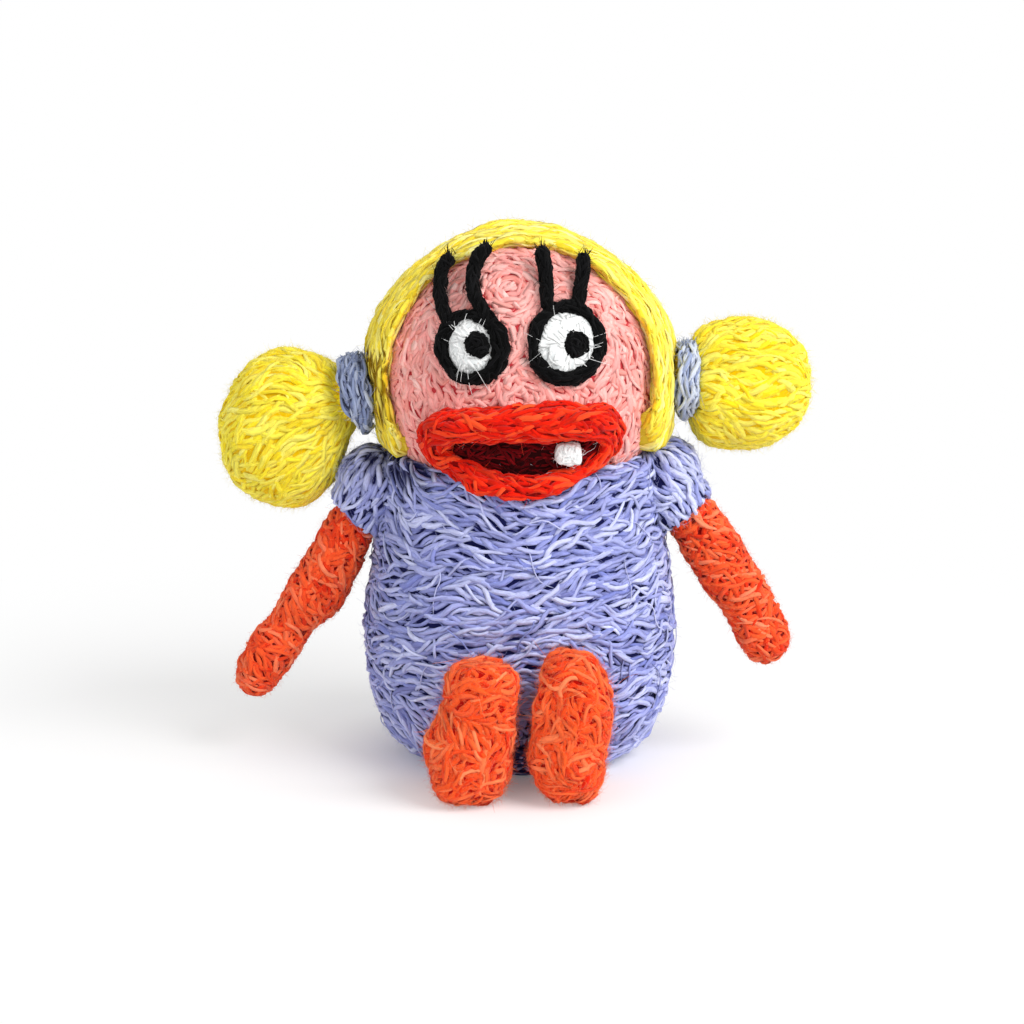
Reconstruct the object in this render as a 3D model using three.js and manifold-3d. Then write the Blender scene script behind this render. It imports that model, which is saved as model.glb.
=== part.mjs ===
// A felt doll ornament about 100 mm tall. A barrel-shaped dressed torso carries a round head with a
// cap of hair, two tied bunches of hair, two sleeved arms and two upturned feet.
// Millimetres, +Z up. The origin is on the floor under the torso, and the doll faces -Y.
// "left" and "right" are the doll's own sides: its left is +X.
import * as THREE from "three";
import { ConvexGeometry } from "three/addons/geometries/ConvexGeometry.js";
import { mergeVertices } from "three/addons/utils/BufferGeometryUtils.js";
import Module from "manifold-3d";

const wasm = await Module();
wasm.setup();

// Fits
const GAP = 0.3;
const WIRE_GAP = 0.3;

// Dress and torso
const SEAT_HALF_WIDTH = 17;
const BELLY_HALF_WIDTH = 28.8;
const BELLY_HEIGHT = 24;
const CHEST_HALF_WIDTH = 25.2;
const CHEST_HEIGHT = 54;
const BODY_HALF_DEPTH = 25.9;
const NECKLINE_HEIGHT = 57.7;
const NECKLINE_TILT = 6.5;
const DRESS_WALL = 3.5;

// Head
const HEAD_HALF_WIDTH = 25.8;
const HEAD_HALF_DEPTH = 22.7;
const HEAD_ABOVE_NECKLINE = 13.3;
const HEAD_CROWN = 26.4;
const HEAD_STRAIGHT_SIDE = 3;
const HEAD_CHIN = 23.4;
const HEAD_WALL = 3.2;
const NECK_HOLE_RADIUS = 4;

// Hair cap and the arched opening that it leaves for the face
const HAIR_THICKNESS = 2.3;
const FACE_RADIUS = 23.3;
const FACE_FOOT_HALF_WIDTH = 21.8;
const FACE_TILT = 12;
const FACE_ARCH_DROP = 1.5;
const FACE_ARCH_BACK = 3;

// Hair bunches and their ties, one row of sizes for each side
const YARN_RADIUS = 0.55;
const TIE_TURNS = 2;
const TIE_PITCH = 1.55;
const TIE_NECK_RADIUS = 5.1;
const TIE_NECK_END = 1.9;
const TIE_THROAT_RADIUS = 3.8;
const BUNCHES = {
  right: {
    pivot: [29.4, -2, -3.7],
    tieTilt: 12,
    ball: [43.6, 3, -10.7],
    half: [12.2, 12.2, 14.9],
    lean: 17,
  },
  left: {
    pivot: [29.9, -1, -1.4],
    tieTilt: 3,
    ball: [42.8, 2, -2.6],
    half: [11, 11.2, 12.2],
    lean: -4,
  },
};
const BUNCH_RAISE = 10;

// Shoulders, sleeves and arms. An arm's outline gives its radius at distances from the shoulder.
const SHOULDER_OUT = 27.1;
const SHOULDER_FORWARD = 2;
const SHOULDER_BELOW_NECKLINE = 8;
const SLEEVE_RADIUS = 6.7;
const SLEEVE_WALL = 1;
const SLEEVE_LENGTH = 7.2;
const SLEEVE_SKIRT_ANGLE = 30;
const ARM_SPREAD = 32;
const ARM_RAISE = 15;
const ARM_END_SHARE = 0.1;
const ARM_WIRE_RADIUS = 0.7;
const ARMS = {
  right: { length: 44, curl: 0.5, outline: [[3, 4.2], [10, 4.5], [20, 5.1], [29, 4.5], [37, 4.8]] },
  left: { length: 37.6, curl: 0.2, outline: [[3, 4.8], [10, 5.1], [20, 5.2], [28, 4.6], [33, 4.5]] },
};

// Hips, legs and upturned feet.
// A foot is a heel lobe and a toe lobe: [out, height, half width, half height].
const HIP_OUT = 8.3;
const HIP_FORWARD = 21.5;
const HIP_HEIGHT = 8.5;
const LEG_RADIUS = 6.2;
const HIP_BACK_ANGLE = -4;
const HIP_FORWARD_ANGLE = 35;
const HIP_SWEEP_STEPS = 4;
const FOOT_FORWARD = 33;
const HEEL_HALF_DEPTH = 6.3;
const TOE_HALF_DEPTH = 5.7;
const FEET = {
  right: { heel: [8.8, 10.5, 8.05, 11], toe: [6.8, 18, 6.7, 9.1] },
  left: { heel: [8.1, 9.5, 7, 10], toe: [9.1, 18.8, 6.9, 9.4] },
};

// Armature wires
const WIRE_RADIUS = 0.8;
const SPINE_FOOT = 10;
const SHOULDER_WIRE_INNER = 18.4;
const SHOULDER_WIRE_BEAD = 1.1;
const HIP_WIRE_HALF_LENGTH = 12.5;

// Face: places are [out from the middle, up from the head's centre]
const EYES = {
  right: { at: [-8.1, 7.6], ring: 5.2, band: 1.25, pupilAt: [1.2, 0.4] },
  left: { at: [7.7, 8.3], ring: 5.85, band: 1.1, pupilAt: [1.2, -0.5] },
};
const EYE_RING_HEIGHT = 1.3;
const EYE_WHITE_HEIGHT = 1.5;
const PUPIL_RADIUS = 2.15;
const PUPIL_HEIGHT = 1.4;
const LASH_RADIUS = 1.1;
const LASH_END_SHARE = 0.7;
const LASHES = {
  lash_right_outer: { root: [-11.9, 14.2], bend: [-13.3, 18.3], tip: [-11.3, 24.2] },
  lash_right_inner: { root: [-7.2, 15.6], bend: [-7.6, 20.4], tip: [-4.9, 25.2] },
  lash_left_inner: { root: [4.8, 16.2], bend: [4.5, 20.4], tip: [3.9, 24.9] },
  lash_left_outer: { root: [10.6, 16.2], bend: [10.2, 19], tip: [10.7, 23.4] },
};

// Lips: [out, up from the head's centre, radius of the roll] round the mouth
const LIPS = [
  [-14.9, -10, 2.6], [-10.4, -5.8, 3.1], [-3, -4.9, 3.1], [5, -4.5, 3.2], [13, -5, 3], [17.4, -8.6, 2.1],
  [14.9, -13.8, 2], [8, -17.3, 2], [0, -17.8, 2.1], [-7.5, -16.2, 2.2], [-13, -13.6, 2.3],
];
const LIP_LIFT = 0.55;
const LINING_THICKNESS = 0.9;
const TOOTH = { at: [8.5, -11], width: 5.6, height: 4.2, round: 1.3, stands: 2.4, bevel: 0.65 };
const TOOTH_STEPS = 3;

// Fineness of the facets
const BODY_SIDES = 24;
const CORE_SIDES = 14;
const BALL_SIDES = 16;
const LIMB_SIDES = 12;
const WIRE_SIDES = 8;
const YARN_SIDES = 6;
const YARN_STEPS = 24;
const ARC_STEPS = 6;
const CAP_STEPS = 3;
const LIP_STEPS = 33;

// Colours
const colour = (color, roughness, metalness = 0) =>
  new THREE.MeshStandardMaterial({ color, roughness, metalness });
const MATERIALS = {
  dress: colour(0x8b90cf, 0.95),
  skin: colour(0xe9959b, 0.95),
  hair: colour(0xf0d52f, 0.95),
  limb: colour(0xe2502a, 0.95),
  lip: colour(0xe02a18, 0.95),
  lining: colour(0x5c0d10, 0.95),
  black: colour(0x141416, 0.9),
  white: colour(0xe9ebe9, 0.95),
  core: colour(0xe4ddcc, 1),
  wire: colour(0xa3a4a6, 0.4, 0.9),
};

// Places worked out from the sizes
const SIDES = { right: -1, left: 1 };
const HEAD_CENTRE = NECKLINE_HEIGHT + HEAD_ABOVE_NECKLINE;
const HAIR_GROWTH = GAP + HAIR_THICKNESS;
const SHOULDER_HEIGHT = NECKLINE_HEIGHT - SHOULDER_BELOW_NECKLINE;
const TIE_RADIUS = TIE_NECK_RADIUS + GAP + YARN_RADIUS;
const TIE_HALF_LENGTH = (TIE_TURNS * TIE_PITCH) / 2 + YARN_RADIUS;
const SKIRT_ANGLE = THREE.MathUtils.degToRad(SLEEVE_SKIRT_ANGLE);
const FAR = 200;
const rad = THREE.MathUtils.degToRad;
const vec = (x, y, z) => new THREE.Vector3(x, y, z);
const Y_AXIS = vec(0, 1, 0);
const Z_AXIS = vec(0, 0, 1);

// A closed geometry as a solid, with its shared corners merged and empty triangles dropped
function solidOf(geometry) {
  const bare = geometry.clone();
  bare.deleteAttribute("normal");
  bare.deleteAttribute("uv");
  const merged = mergeVertices(bare, 1e-4);
  const index = merged.index.array;
  const corners = [];
  for (let i = 0; i < index.length; i += 3) {
    const [a, b, c] = [index[i], index[i + 1], index[i + 2]];
    if (a !== b && b !== c && c !== a) corners.push(a, b, c);
  }
  const vertProperties = merged.attributes.position.array;
  const triVerts = Uint32Array.from(corners);
  return new wasm.Manifold(new wasm.Mesh({ numProp: 3, vertProperties, triVerts }));
}

const cut = (solid, ...tools) => tools.reduce((rest, tool) => rest.subtract(tool), solid);
const join = (...solids) => solids.reduce((whole, solid) => whole.add(solid));

// A solid as a named mesh
function meshOf(name, solid, material) {
  const { vertProperties, triVerts } = solid.getMesh();
  const geometry = new THREE.BufferGeometry();
  geometry.setAttribute("position", new THREE.BufferAttribute(vertProperties, 3));
  geometry.setIndex(new THREE.BufferAttribute(triVerts, 1));
  geometry.computeVertexNormals();
  const mesh = new THREE.Mesh(geometry, material);
  mesh.name = name;
  return mesh;
}

// A profile of [radius, height], from the bottom up, turned about Z and then flattened in depth
function turned(profile, sides, depthRatio = 1) {
  const points = profile.map(([radius, height]) => new THREE.Vector2(radius, height));
  const geometry = new THREE.LatheGeometry(points, sides);
  geometry.rotateX(Math.PI / 2);
  geometry.scale(1, depthRatio, 1);
  return solidOf(geometry);
}

function ball(radius, centre, sides = BALL_SIDES) {
  const geometry = new THREE.SphereGeometry(radius, sides, sides / 2);
  geometry.translate(...centre);
  return solidOf(geometry);
}

// A round bar from one point to another
function bar(radius, from, to, sides = WIRE_SIDES) {
  const run = to.clone().sub(from);
  const geometry = new THREE.CylinderGeometry(radius, radius, run.length(), sides);
  geometry.applyQuaternion(new THREE.Quaternion().setFromUnitVectors(Y_AXIS, run.clone().normalize()));
  geometry.translate(...from.clone().add(to).multiplyScalar(0.5));
  return solidOf(geometry);
}

// A tube through the points, whose sections stand on the given up directions.
// Each point has its own radius, and an open tube is closed by a point at each end.
function tube(points, radii, ups, sides, closed = false) {
  const count = points.length;
  const positions = [];
  points.forEach((point, i) => {
    const before = closed ? points[(i + count - 1) % count] : points[Math.max(i - 1, 0)];
    const after = closed ? points[(i + 1) % count] : points[Math.min(i + 1, count - 1)];
    const along = after.clone().sub(before).normalize();
    const up = ups[i].clone().addScaledVector(along, -ups[i].dot(along)).normalize();
    const across = along.clone().cross(up);
    for (let k = 0; k < sides; k += 1) {
      const angle = (2 * Math.PI * k) / sides;
      const corner = point.clone();
      corner.addScaledVector(across, radii[i] * Math.cos(angle));
      corner.addScaledVector(up, -radii[i] * Math.sin(angle));
      positions.push(...corner);
    }
  });
  const corners = [];
  const rings = closed ? count : count - 1;
  for (let i = 0; i < rings; i += 1) {
    for (let k = 0; k < sides; k += 1) {
      const here = i * sides;
      const next = ((i + 1) % count) * sides;
      const turn = (k + 1) % sides;
      corners.push(here + k, here + turn, next + turn);
      corners.push(here + k, next + turn, next + k);
    }
  }
  if (!closed) {
    const first = positions.length / 3;
    positions.push(...points[0], ...points[count - 1]);
    const last = (count - 1) * sides;
    for (let k = 0; k < sides; k += 1) {
      const turn = (k + 1) % sides;
      corners.push(first, turn, k);
      corners.push(first + 1, last + k, last + turn);
    }
  }
  const geometry = new THREE.BufferGeometry();
  geometry.setAttribute("position", new THREE.Float32BufferAttribute(positions, 3));
  geometry.setIndex(corners);
  return solidOf(geometry);
}

// The dress's barrel, grown or shrunk: a quarter ellipse from the seat to the belly, then a soft taper
function dressForm(growth, sides = BODY_SIDES) {
  const profile = [[0, -growth]];
  const belly = BELLY_HALF_WIDTH + growth;
  for (let i = 0; i <= ARC_STEPS; i += 1) {
    const turn = (i / ARC_STEPS) * (Math.PI / 2);
    const radius = SEAT_HALF_WIDTH + (belly - SEAT_HALF_WIDTH) * Math.sin(turn);
    profile.push([radius, BELLY_HEIGHT - (BELLY_HEIGHT + growth) * Math.cos(turn)]);
  }
  for (let i = 1; i <= ARC_STEPS; i += 1) {
    const rise = i / ARC_STEPS;
    const share = (1 + Math.cos(Math.PI * rise)) / 2;
    const radius = CHEST_HALF_WIDTH + growth + (BELLY_HALF_WIDTH - CHEST_HALF_WIDTH) * share;
    profile.push([radius, BELLY_HEIGHT + (CHEST_HEIGHT - BELLY_HEIGHT) * rise]);
  }
  const top = NECKLINE_HEIGHT + HEAD_ABOVE_NECKLINE;
  profile.push([CHEST_HALF_WIDTH + growth, top], [0, top]);
  return turned(profile, sides, (BODY_HALF_DEPTH + growth) / belly);
}

// The head's form, grown or shrunk: a domed crown, a short straight side and a rounded chin
function headForm(growth, sides = BODY_SIDES) {
  const width = HEAD_HALF_WIDTH + growth;
  const profile = [];
  for (let i = 0; i <= ARC_STEPS; i += 1) {
    const turn = (i / ARC_STEPS) * (Math.PI / 2);
    const chin = (HEAD_CHIN + growth) * Math.cos(turn);
    profile.push([width * Math.sin(turn), HEAD_CENTRE - HEAD_STRAIGHT_SIDE - chin]);
  }
  for (let i = 0; i <= ARC_STEPS; i += 1) {
    const turn = (i / ARC_STEPS) * (Math.PI / 2);
    profile.push([width * Math.cos(turn), HEAD_CENTRE + (HEAD_CROWN + growth) * Math.sin(turn)]);
  }
  return turned(profile, sides, (HEAD_HALF_DEPTH + growth) / width);
}

// The point on the front of the head's grown form at a place on the face, and the way out from it
function onFace([out, up], growth, lift = 0) {
  const width = HEAD_HALF_WIDTH + growth;
  const depth = HEAD_HALF_DEPTH + growth;
  const below = up < -HEAD_STRAIGHT_SIDE;
  const rise = below ? up + HEAD_STRAIGHT_SIDE : Math.max(up, 0);
  const half = (below ? HEAD_CHIN : HEAD_CROWN) + growth;
  const rest = 1 - (out / width) ** 2 - (rise / half) ** 2;
  const y = -depth * Math.sqrt(Math.max(rest, 0));
  const normal = vec(out / width ** 2, y / depth ** 2, rise / half ** 2).normalize();
  const point = vec(out, y, HEAD_CENTRE + up).addScaledVector(normal, lift);
  return { point, normal };
}

// The space above or below the tilted neckline, a given height over it
function besideNeckline(side, height) {
  const geometry = new THREE.BoxGeometry(FAR, FAR, FAR);
  geometry.translate(0, 0, (side * FAR) / 2 + height);
  geometry.rotateX(rad(NECKLINE_TILT));
  geometry.translate(0, 0, NECKLINE_HEIGHT);
  return solidOf(geometry);
}

// The arched opening of the hair, pushed straight back at the head from in front and a little above
function faceArch(growth = 0) {
  const foot = -(HEAD_ABOVE_NECKLINE + HEAD_CHIN);
  const radius = FACE_RADIUS + growth;
  const shape = new THREE.Shape();
  shape.moveTo(-FACE_FOOT_HALF_WIDTH - growth, foot);
  shape.lineTo(FACE_FOOT_HALF_WIDTH + growth, foot);
  shape.lineTo(radius, 0);
  shape.absarc(0, 0, radius, 0, Math.PI, false);
  shape.closePath();
  const options = { depth: FAR, bevelEnabled: false, curveSegments: BODY_SIDES / 2 };
  const geometry = new THREE.ExtrudeGeometry(shape, options);
  geometry.rotateX(Math.PI / 2 - rad(FACE_TILT));
  geometry.translate(0, -FACE_ARCH_BACK, HEAD_CENTRE - FACE_ARCH_DROP);
  return solidOf(geometry);
}

// Where a bunch is tied: its pivot, the way out along the tie, and the centre of its ball
function bunchPlaces(side) {
  const { pivot, tieTilt, ball: centre } = BUNCHES[side];
  const place = ([out, back, up]) => vec(SIDES[side] * out, back, HEAD_CENTRE + up);
  const outwards = vec(SIDES[side] * Math.cos(rad(tieTilt)), 0, -Math.sin(rad(tieTilt)));
  return { pivot: place(pivot), outwards, centre: place(centre) };
}

// The flat seat of a tie in the hair cap, with a dish that lets the bunch's neck tilt
function tieSeat(side) {
  const { pivot, outwards } = bunchPlaces(side);
  const along = (distance) => pivot.clone().addScaledVector(outwards, distance);
  const seatFloor = -TIE_HALF_LENGTH - GAP;
  const reach = TIE_NECK_RADIUS * Math.sin(rad(BUNCH_RAISE));
  const seatRadius = TIE_RADIUS + YARN_RADIUS + 2 * GAP;
  const seat = bar(seatRadius, along(seatFloor), along(seatRadius), BALL_SIDES);
  const dishRadius = TIE_NECK_RADIUS + GAP;
  const dish = bar(dishRadius, along(-TIE_NECK_END - reach - GAP), along(0), BALL_SIDES);
  return join(seat, dish);
}

// The yarn of a tie: one helix round the bunch's neck, whose ends run straight on
function hairTie(side) {
  const { pivot, outwards } = bunchPlaces(side);
  const ahead = Y_AXIS.clone();
  const upwards = ahead.clone().cross(outwards);
  const points = [];
  const ups = [];
  const steps = TIE_TURNS * YARN_STEPS;
  for (let i = 0; i <= steps; i += 1) {
    const angle = (2 * Math.PI * i) / YARN_STEPS;
    const radial = ahead.clone().multiplyScalar(Math.cos(angle));
    radial.addScaledVector(upwards, Math.sin(angle));
    const distance = TIE_PITCH * (i / YARN_STEPS - TIE_TURNS / 2);
    points.push(pivot.clone().addScaledVector(outwards, distance).addScaledVector(radial, TIE_RADIUS));
    ups.push(radial);
  }
  const diameter = 2 * YARN_RADIUS;
  const lead = (end, next) => end.clone().addScaledVector(end.clone().sub(next).normalize(), diameter);
  points.unshift(lead(points[0], points[1]));
  points.push(lead(points[points.length - 1], points[points.length - 2]));
  ups.unshift(ups[0]);
  ups.push(ups[ups.length - 1]);
  printLeastGap(`hair_tie_${side}`, points);
  return tube(points, points.map(() => YARN_RADIUS), ups, YARN_SIDES);
}

// Measures how close a winding comes to itself, more than half a turn apart
function printLeastGap(name, points) {
  let least = Infinity;
  points.forEach((point, i) => {
    points.slice(i + YARN_STEPS / 2).forEach((other) => {
      least = Math.min(least, point.distanceTo(other) - 2 * YARN_RADIUS);
    });
  });
  console.log(`${name}: least gap to itself ${least.toFixed(2)} mm`);
}

// A bunch of hair: a leaning egg-shaped ball and a neck that goes through the tie
function hairBunch(side) {
  const { pivot, outwards, centre } = bunchPlaces(side);
  const { half, lean } = BUNCHES[side];
  const geometry = new THREE.SphereGeometry(1, BALL_SIDES, BALL_SIDES / 2);
  geometry.rotateX(Math.PI / 2);
  geometry.scale(...half);
  geometry.rotateY(rad(lean));
  geometry.translate(...centre);
  const towards = centre.clone().sub(pivot);
  const reach = towards.length();
  towards.normalize();
  const inner = pivot.clone().addScaledVector(outwards, -TIE_NECK_END);
  const throat = pivot.clone().addScaledVector(towards, TIE_HALF_LENGTH + GAP);
  const root = pivot.clone().addScaledVector(towards, reach / 2);
  const endRadius = Math.sqrt(TIE_NECK_RADIUS ** 2 - TIE_NECK_END ** 2);
  const radii = [endRadius, TIE_NECK_RADIUS - GAP, TIE_THROAT_RADIUS, TIE_NECK_RADIUS];
  const points = [inner, pivot, throat, root];
  const neck = tube(points, radii, points.map(() => Z_AXIS), LIMB_SIDES);
  return join(solidOf(geometry), neck);
}

// A shoulder's place, and the turn that brings an arm from hanging straight down to its spread
function shoulderPlace(side) {
  const pivot = vec(SIDES[side] * SHOULDER_OUT, -SHOULDER_FORWARD, SHOULDER_HEIGHT);
  return { pivot, turn: -SIDES[side] * rad(ARM_SPREAD) };
}

// An arm hanging down -Z from the shoulder: it swells and narrows, ends round and curls in a little
function armForm(side, growth = 0) {
  const { length, curl, outline } = ARMS[side];
  const places = outline.map(([distance, radius]) => new THREE.Vector2(distance, radius));
  const samples = new THREE.SplineCurve(places).getPoints(LIMB_SIDES / 2);
  const last = samples[samples.length - 1];
  const roundSteps = LIMB_SIDES / 4;
  for (let i = 1; i <= roundSteps; i += 1) {
    const turn = (i / (roundSteps + 1)) * (Math.PI / 2);
    const distance = last.x + (length - last.x) * Math.sin(turn);
    samples.push(new THREE.Vector2(distance, last.y * Math.cos(turn)));
  }
  samples.push(new THREE.Vector2(length, last.y * ARM_END_SHARE));
  const inwards = (distance) => -SIDES[side] * curl * (distance / length) ** 3;
  const points = samples.map(({ x }) => vec(inwards(x), 0, -x));
  points[0].z += growth;
  points[points.length - 1].z -= growth;
  const radii = samples.map(({ y }) => y + growth);
  return tube(points, radii, points.map(() => Y_AXIS), LIMB_SIDES);
}

// The radius of a sleeve's hem, which stands clear round the arm
const sleeveHem = (side) => ARMS[side].outline[0][1] + GAP + SLEEVE_WALL;

// A puffed sleeve cap: a ball round the shoulder's pivot that runs down into a skirt and a hem
function sleeveForm(side) {
  const profile = [[0, -SLEEVE_LENGTH], [sleeveHem(side), -SLEEVE_LENGTH]];
  for (let i = 0; i <= ARC_STEPS; i += 1) {
    const turn = (i / ARC_STEPS) * (Math.PI / 2 + SKIRT_ANGLE) - SKIRT_ANGLE;
    profile.push([SLEEVE_RADIUS * Math.cos(turn), SLEEVE_RADIUS * Math.sin(turn)]);
  }
  return turned(profile, BALL_SIDES);
}

// The mouth of a sleeve that lets the shoulder wire stand still while the arm is raised
function wireMouth(side) {
  const radius = SLEEVE_RADIUS + GAP;
  const opening = radius * Math.tan(rad(ARM_RAISE)) + 2 * SHOULDER_WIRE_BEAD;
  const geometry = new THREE.CylinderGeometry(opening, SHOULDER_WIRE_BEAD + GAP, radius, LIMB_SIDES);
  geometry.translate(0, radius / 2, 0);
  geometry.rotateZ((SIDES[side] * Math.PI) / 2);
  geometry.rotateY(-shoulderPlace(side).turn);
  return solidOf(geometry);
}

// The sleeve, arm and arm wire of one side, hung in a group at the shoulder
function armGroup(side) {
  const { pivot, turn } = shoulderPlace(side);
  const wireEnd = ARMS[side].outline[3][0];
  const boreTop = vec(0, 0, 0);
  const bore = bar(ARM_WIRE_RADIUS + WIRE_GAP, boreTop, vec(0, 0, -wireEnd - WIRE_GAP));
  const cavity = ball(SHOULDER_WIRE_BEAD + GAP, [0, 0, 0], LIMB_SIDES);
  const sleeve = cut(sleeveForm(side), armForm(side, GAP), cavity, wireMouth(side), bore);
  const arm = cut(armForm(side), bore);
  const wireTop = vec(0, 0, -SHOULDER_WIRE_BEAD - GAP);
  const wire = bar(ARM_WIRE_RADIUS, wireTop, vec(0, 0, -wireEnd));
  const group = new THREE.Group();
  group.position.copy(pivot);
  group.rotation.y = turn;
  group.add(meshOf(`sleeve_${side}`, sleeve, MATERIALS.dress));
  group.add(meshOf(`arm_${side}`, arm, MATERIALS.limb));
  group.add(meshOf(`arm_wire_${side}`, wire, MATERIALS.wire));
  return group;
}

// The wire that an arm swings on, from inside the torso to a bead at the shoulder's pivot
function shoulderWire(side, growth = 0) {
  const { pivot } = shoulderPlace(side);
  const inner = vec(SIDES[side] * (SHOULDER_WIRE_INNER - growth), pivot.y, pivot.z);
  const wire = bar(WIRE_RADIUS + growth, inner, pivot);
  return join(wire, ball(SHOULDER_WIRE_BEAD + growth, pivot, WIRE_SIDES));
}

// The round hole that a sleeve turns in, and the sloping armhole that its skirt and hem sweep over
function armhole(side) {
  const { pivot } = shoulderPlace(side);
  const hem = sleeveHem(side);
  const innerSide = ([across, down]) => [
    down * Math.cos(rad(ARM_SPREAD)) + across * Math.sin(rad(ARM_SPREAD)) + GAP,
    down * Math.sin(rad(ARM_SPREAD)) - across * Math.cos(rad(ARM_SPREAD)) - GAP,
  ];
  const skirtTop = [SLEEVE_RADIUS * Math.cos(SKIRT_ANGLE), SLEEVE_RADIUS * Math.sin(SKIRT_ANGLE)];
  const top = innerSide(skirtTop);
  const edge = innerSide([hem, SLEEVE_LENGTH]);
  const profile = [[0, top[1]], top, edge, [edge[0], FAR], [0, FAR]];
  const points = profile.map(([reach, out]) => new THREE.Vector2(reach, out));
  const geometry = new THREE.LatheGeometry(points, BODY_SIDES);
  geometry.rotateZ((-SIDES[side] * Math.PI) / 2);
  geometry.translate(...pivot);
  return join(ball(SLEEVE_RADIUS + 2 * GAP, pivot), solidOf(geometry));
}

// A leg's round stub from the hip forwards, turned about the hip by an angle
function legStub(side, growth = 0, angle = 0) {
  const length = FOOT_FORWARD - HIP_FORWARD;
  const geometry = new THREE.CapsuleGeometry(LEG_RADIUS + growth, length, CAP_STEPS, BALL_SIDES);
  geometry.translate(0, -length / 2, 0);
  geometry.rotateX(rad(angle));
  geometry.translate(SIDES[side] * HIP_OUT, -HIP_FORWARD, HIP_HEIGHT);
  return geometry;
}

// The room that a leg sweeps through from its back angle to its forward angle
function hipRoom(side) {
  const points = [];
  for (let i = 0; i <= HIP_SWEEP_STEPS; i += 1) {
    const angle = HIP_BACK_ANGLE + ((HIP_FORWARD_ANGLE - HIP_BACK_ANGLE) * i) / HIP_SWEEP_STEPS;
    const places = legStub(side, GAP, angle).getAttribute("position");
    for (let k = 0; k < places.count; k += 1) points.push(vec(0, 0, 0).fromBufferAttribute(places, k));
  }
  return solidOf(new ConvexGeometry(points));
}

// One lobe of a foot
function footLobe(side, [out, height, halfWidth, halfHeight], halfDepth) {
  const geometry = new THREE.SphereGeometry(1, BALL_SIDES, BALL_SIDES / 2);
  geometry.rotateX(Math.PI / 2);
  geometry.scale(halfWidth, halfDepth, halfHeight);
  geometry.translate(SIDES[side] * out, -FOOT_FORWARD, height);
  return solidOf(geometry);
}

// The wire that both legs turn on
function hipWire(growth = 0) {
  const half = HIP_WIRE_HALF_LENGTH + growth;
  const end = (out) => vec(out, -HIP_FORWARD, HIP_HEIGHT);
  return bar(WIRE_RADIUS + growth, end(-half), end(half));
}

// A leg and its upturned foot, cut flat where the heel stands on the floor
function leg(side) {
  const { heel, toe } = FEET[side];
  const lobes = [footLobe(side, heel, HEEL_HALF_DEPTH), footLobe(side, toe, TOE_HALF_DEPTH)];
  const floor = new THREE.BoxGeometry(FAR, FAR, FAR);
  floor.translate(0, 0, -FAR / 2);
  return cut(join(solidOf(legStub(side)), ...lobes), hipWire(WIRE_GAP), solidOf(floor));
}

// The wire up through the torso into the head
function spineWire(growth = 0) {
  return bar(WIRE_RADIUS + growth, vec(0, 0, SPINE_FOOT - growth), vec(0, 0, HEAD_CENTRE + growth));
}

// A low round dome on the face, with its rim sunk so that the head cuts it to fit
function faceDome(place, radius, height, growth, sides) {
  const { point, normal } = onFace(place, 0);
  const profile = [];
  const sunk = height + growth + 1;
  profile.push([0, -sunk], [radius + growth, -sunk]);
  for (let i = 0; i <= ARC_STEPS / 2; i += 1) {
    const turn = (i / (ARC_STEPS / 2)) * (Math.PI / 2);
    profile.push([(radius + growth) * Math.cos(turn), (height + growth) * Math.sin(turn)]);
  }
  const points = profile.map(([across, up]) => new THREE.Vector2(across, up));
  const geometry = new THREE.LatheGeometry(points, sides);
  geometry.applyQuaternion(new THREE.Quaternion().setFromUnitVectors(Y_AXIS, normal));
  geometry.translate(...point);
  return solidOf(geometry);
}

// A flat felt ring round an eye
function eyeRing({ at, ring, band }) {
  const { point, normal } = onFace(at, 0);
  const steps = LIMB_SIDES / 2 + 2;
  const profile = [];
  for (let i = 0; i <= steps; i += 1) {
    const turn = (2 * Math.PI * i) / steps;
    profile.push(new THREE.Vector2(ring + band * Math.cos(turn), EYE_RING_HEIGHT * Math.sin(turn)));
  }
  const geometry = new THREE.LatheGeometry(profile, BALL_SIDES);
  geometry.applyQuaternion(new THREE.Quaternion().setFromUnitVectors(Y_AXIS, normal));
  geometry.translate(...point);
  return solidOf(geometry);
}

// A thick lash of yarn that lies on the face, then stands off it to pass over the edge of the hair
function lash({ root, bend, tip }) {
  const step = [(bend[0] + tip[0]) / 2, (bend[1] + tip[1]) / 2];
  const low = onFace(root, GAP, LASH_RADIUS);
  const middle = onFace(bend, GAP + HAIR_THICKNESS / 2, LASH_RADIUS);
  const over = onFace(step, HAIR_GROWTH, LASH_RADIUS + GAP);
  const high = onFace(tip, HAIR_GROWTH, LASH_RADIUS + GAP);
  const curve = new THREE.CatmullRomCurve3([low, middle, over, high].map(({ point }) => point));
  const points = curve.getPoints(WIRE_SIDES);
  const radii = points.map(() => LASH_RADIUS);
  radii[0] *= LASH_END_SHARE;
  radii[radii.length - 1] *= LASH_END_SHARE;
  return tube(points, radii, points.map(() => Y_AXIS.clone().negate()), WIRE_SIDES);
}

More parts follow.
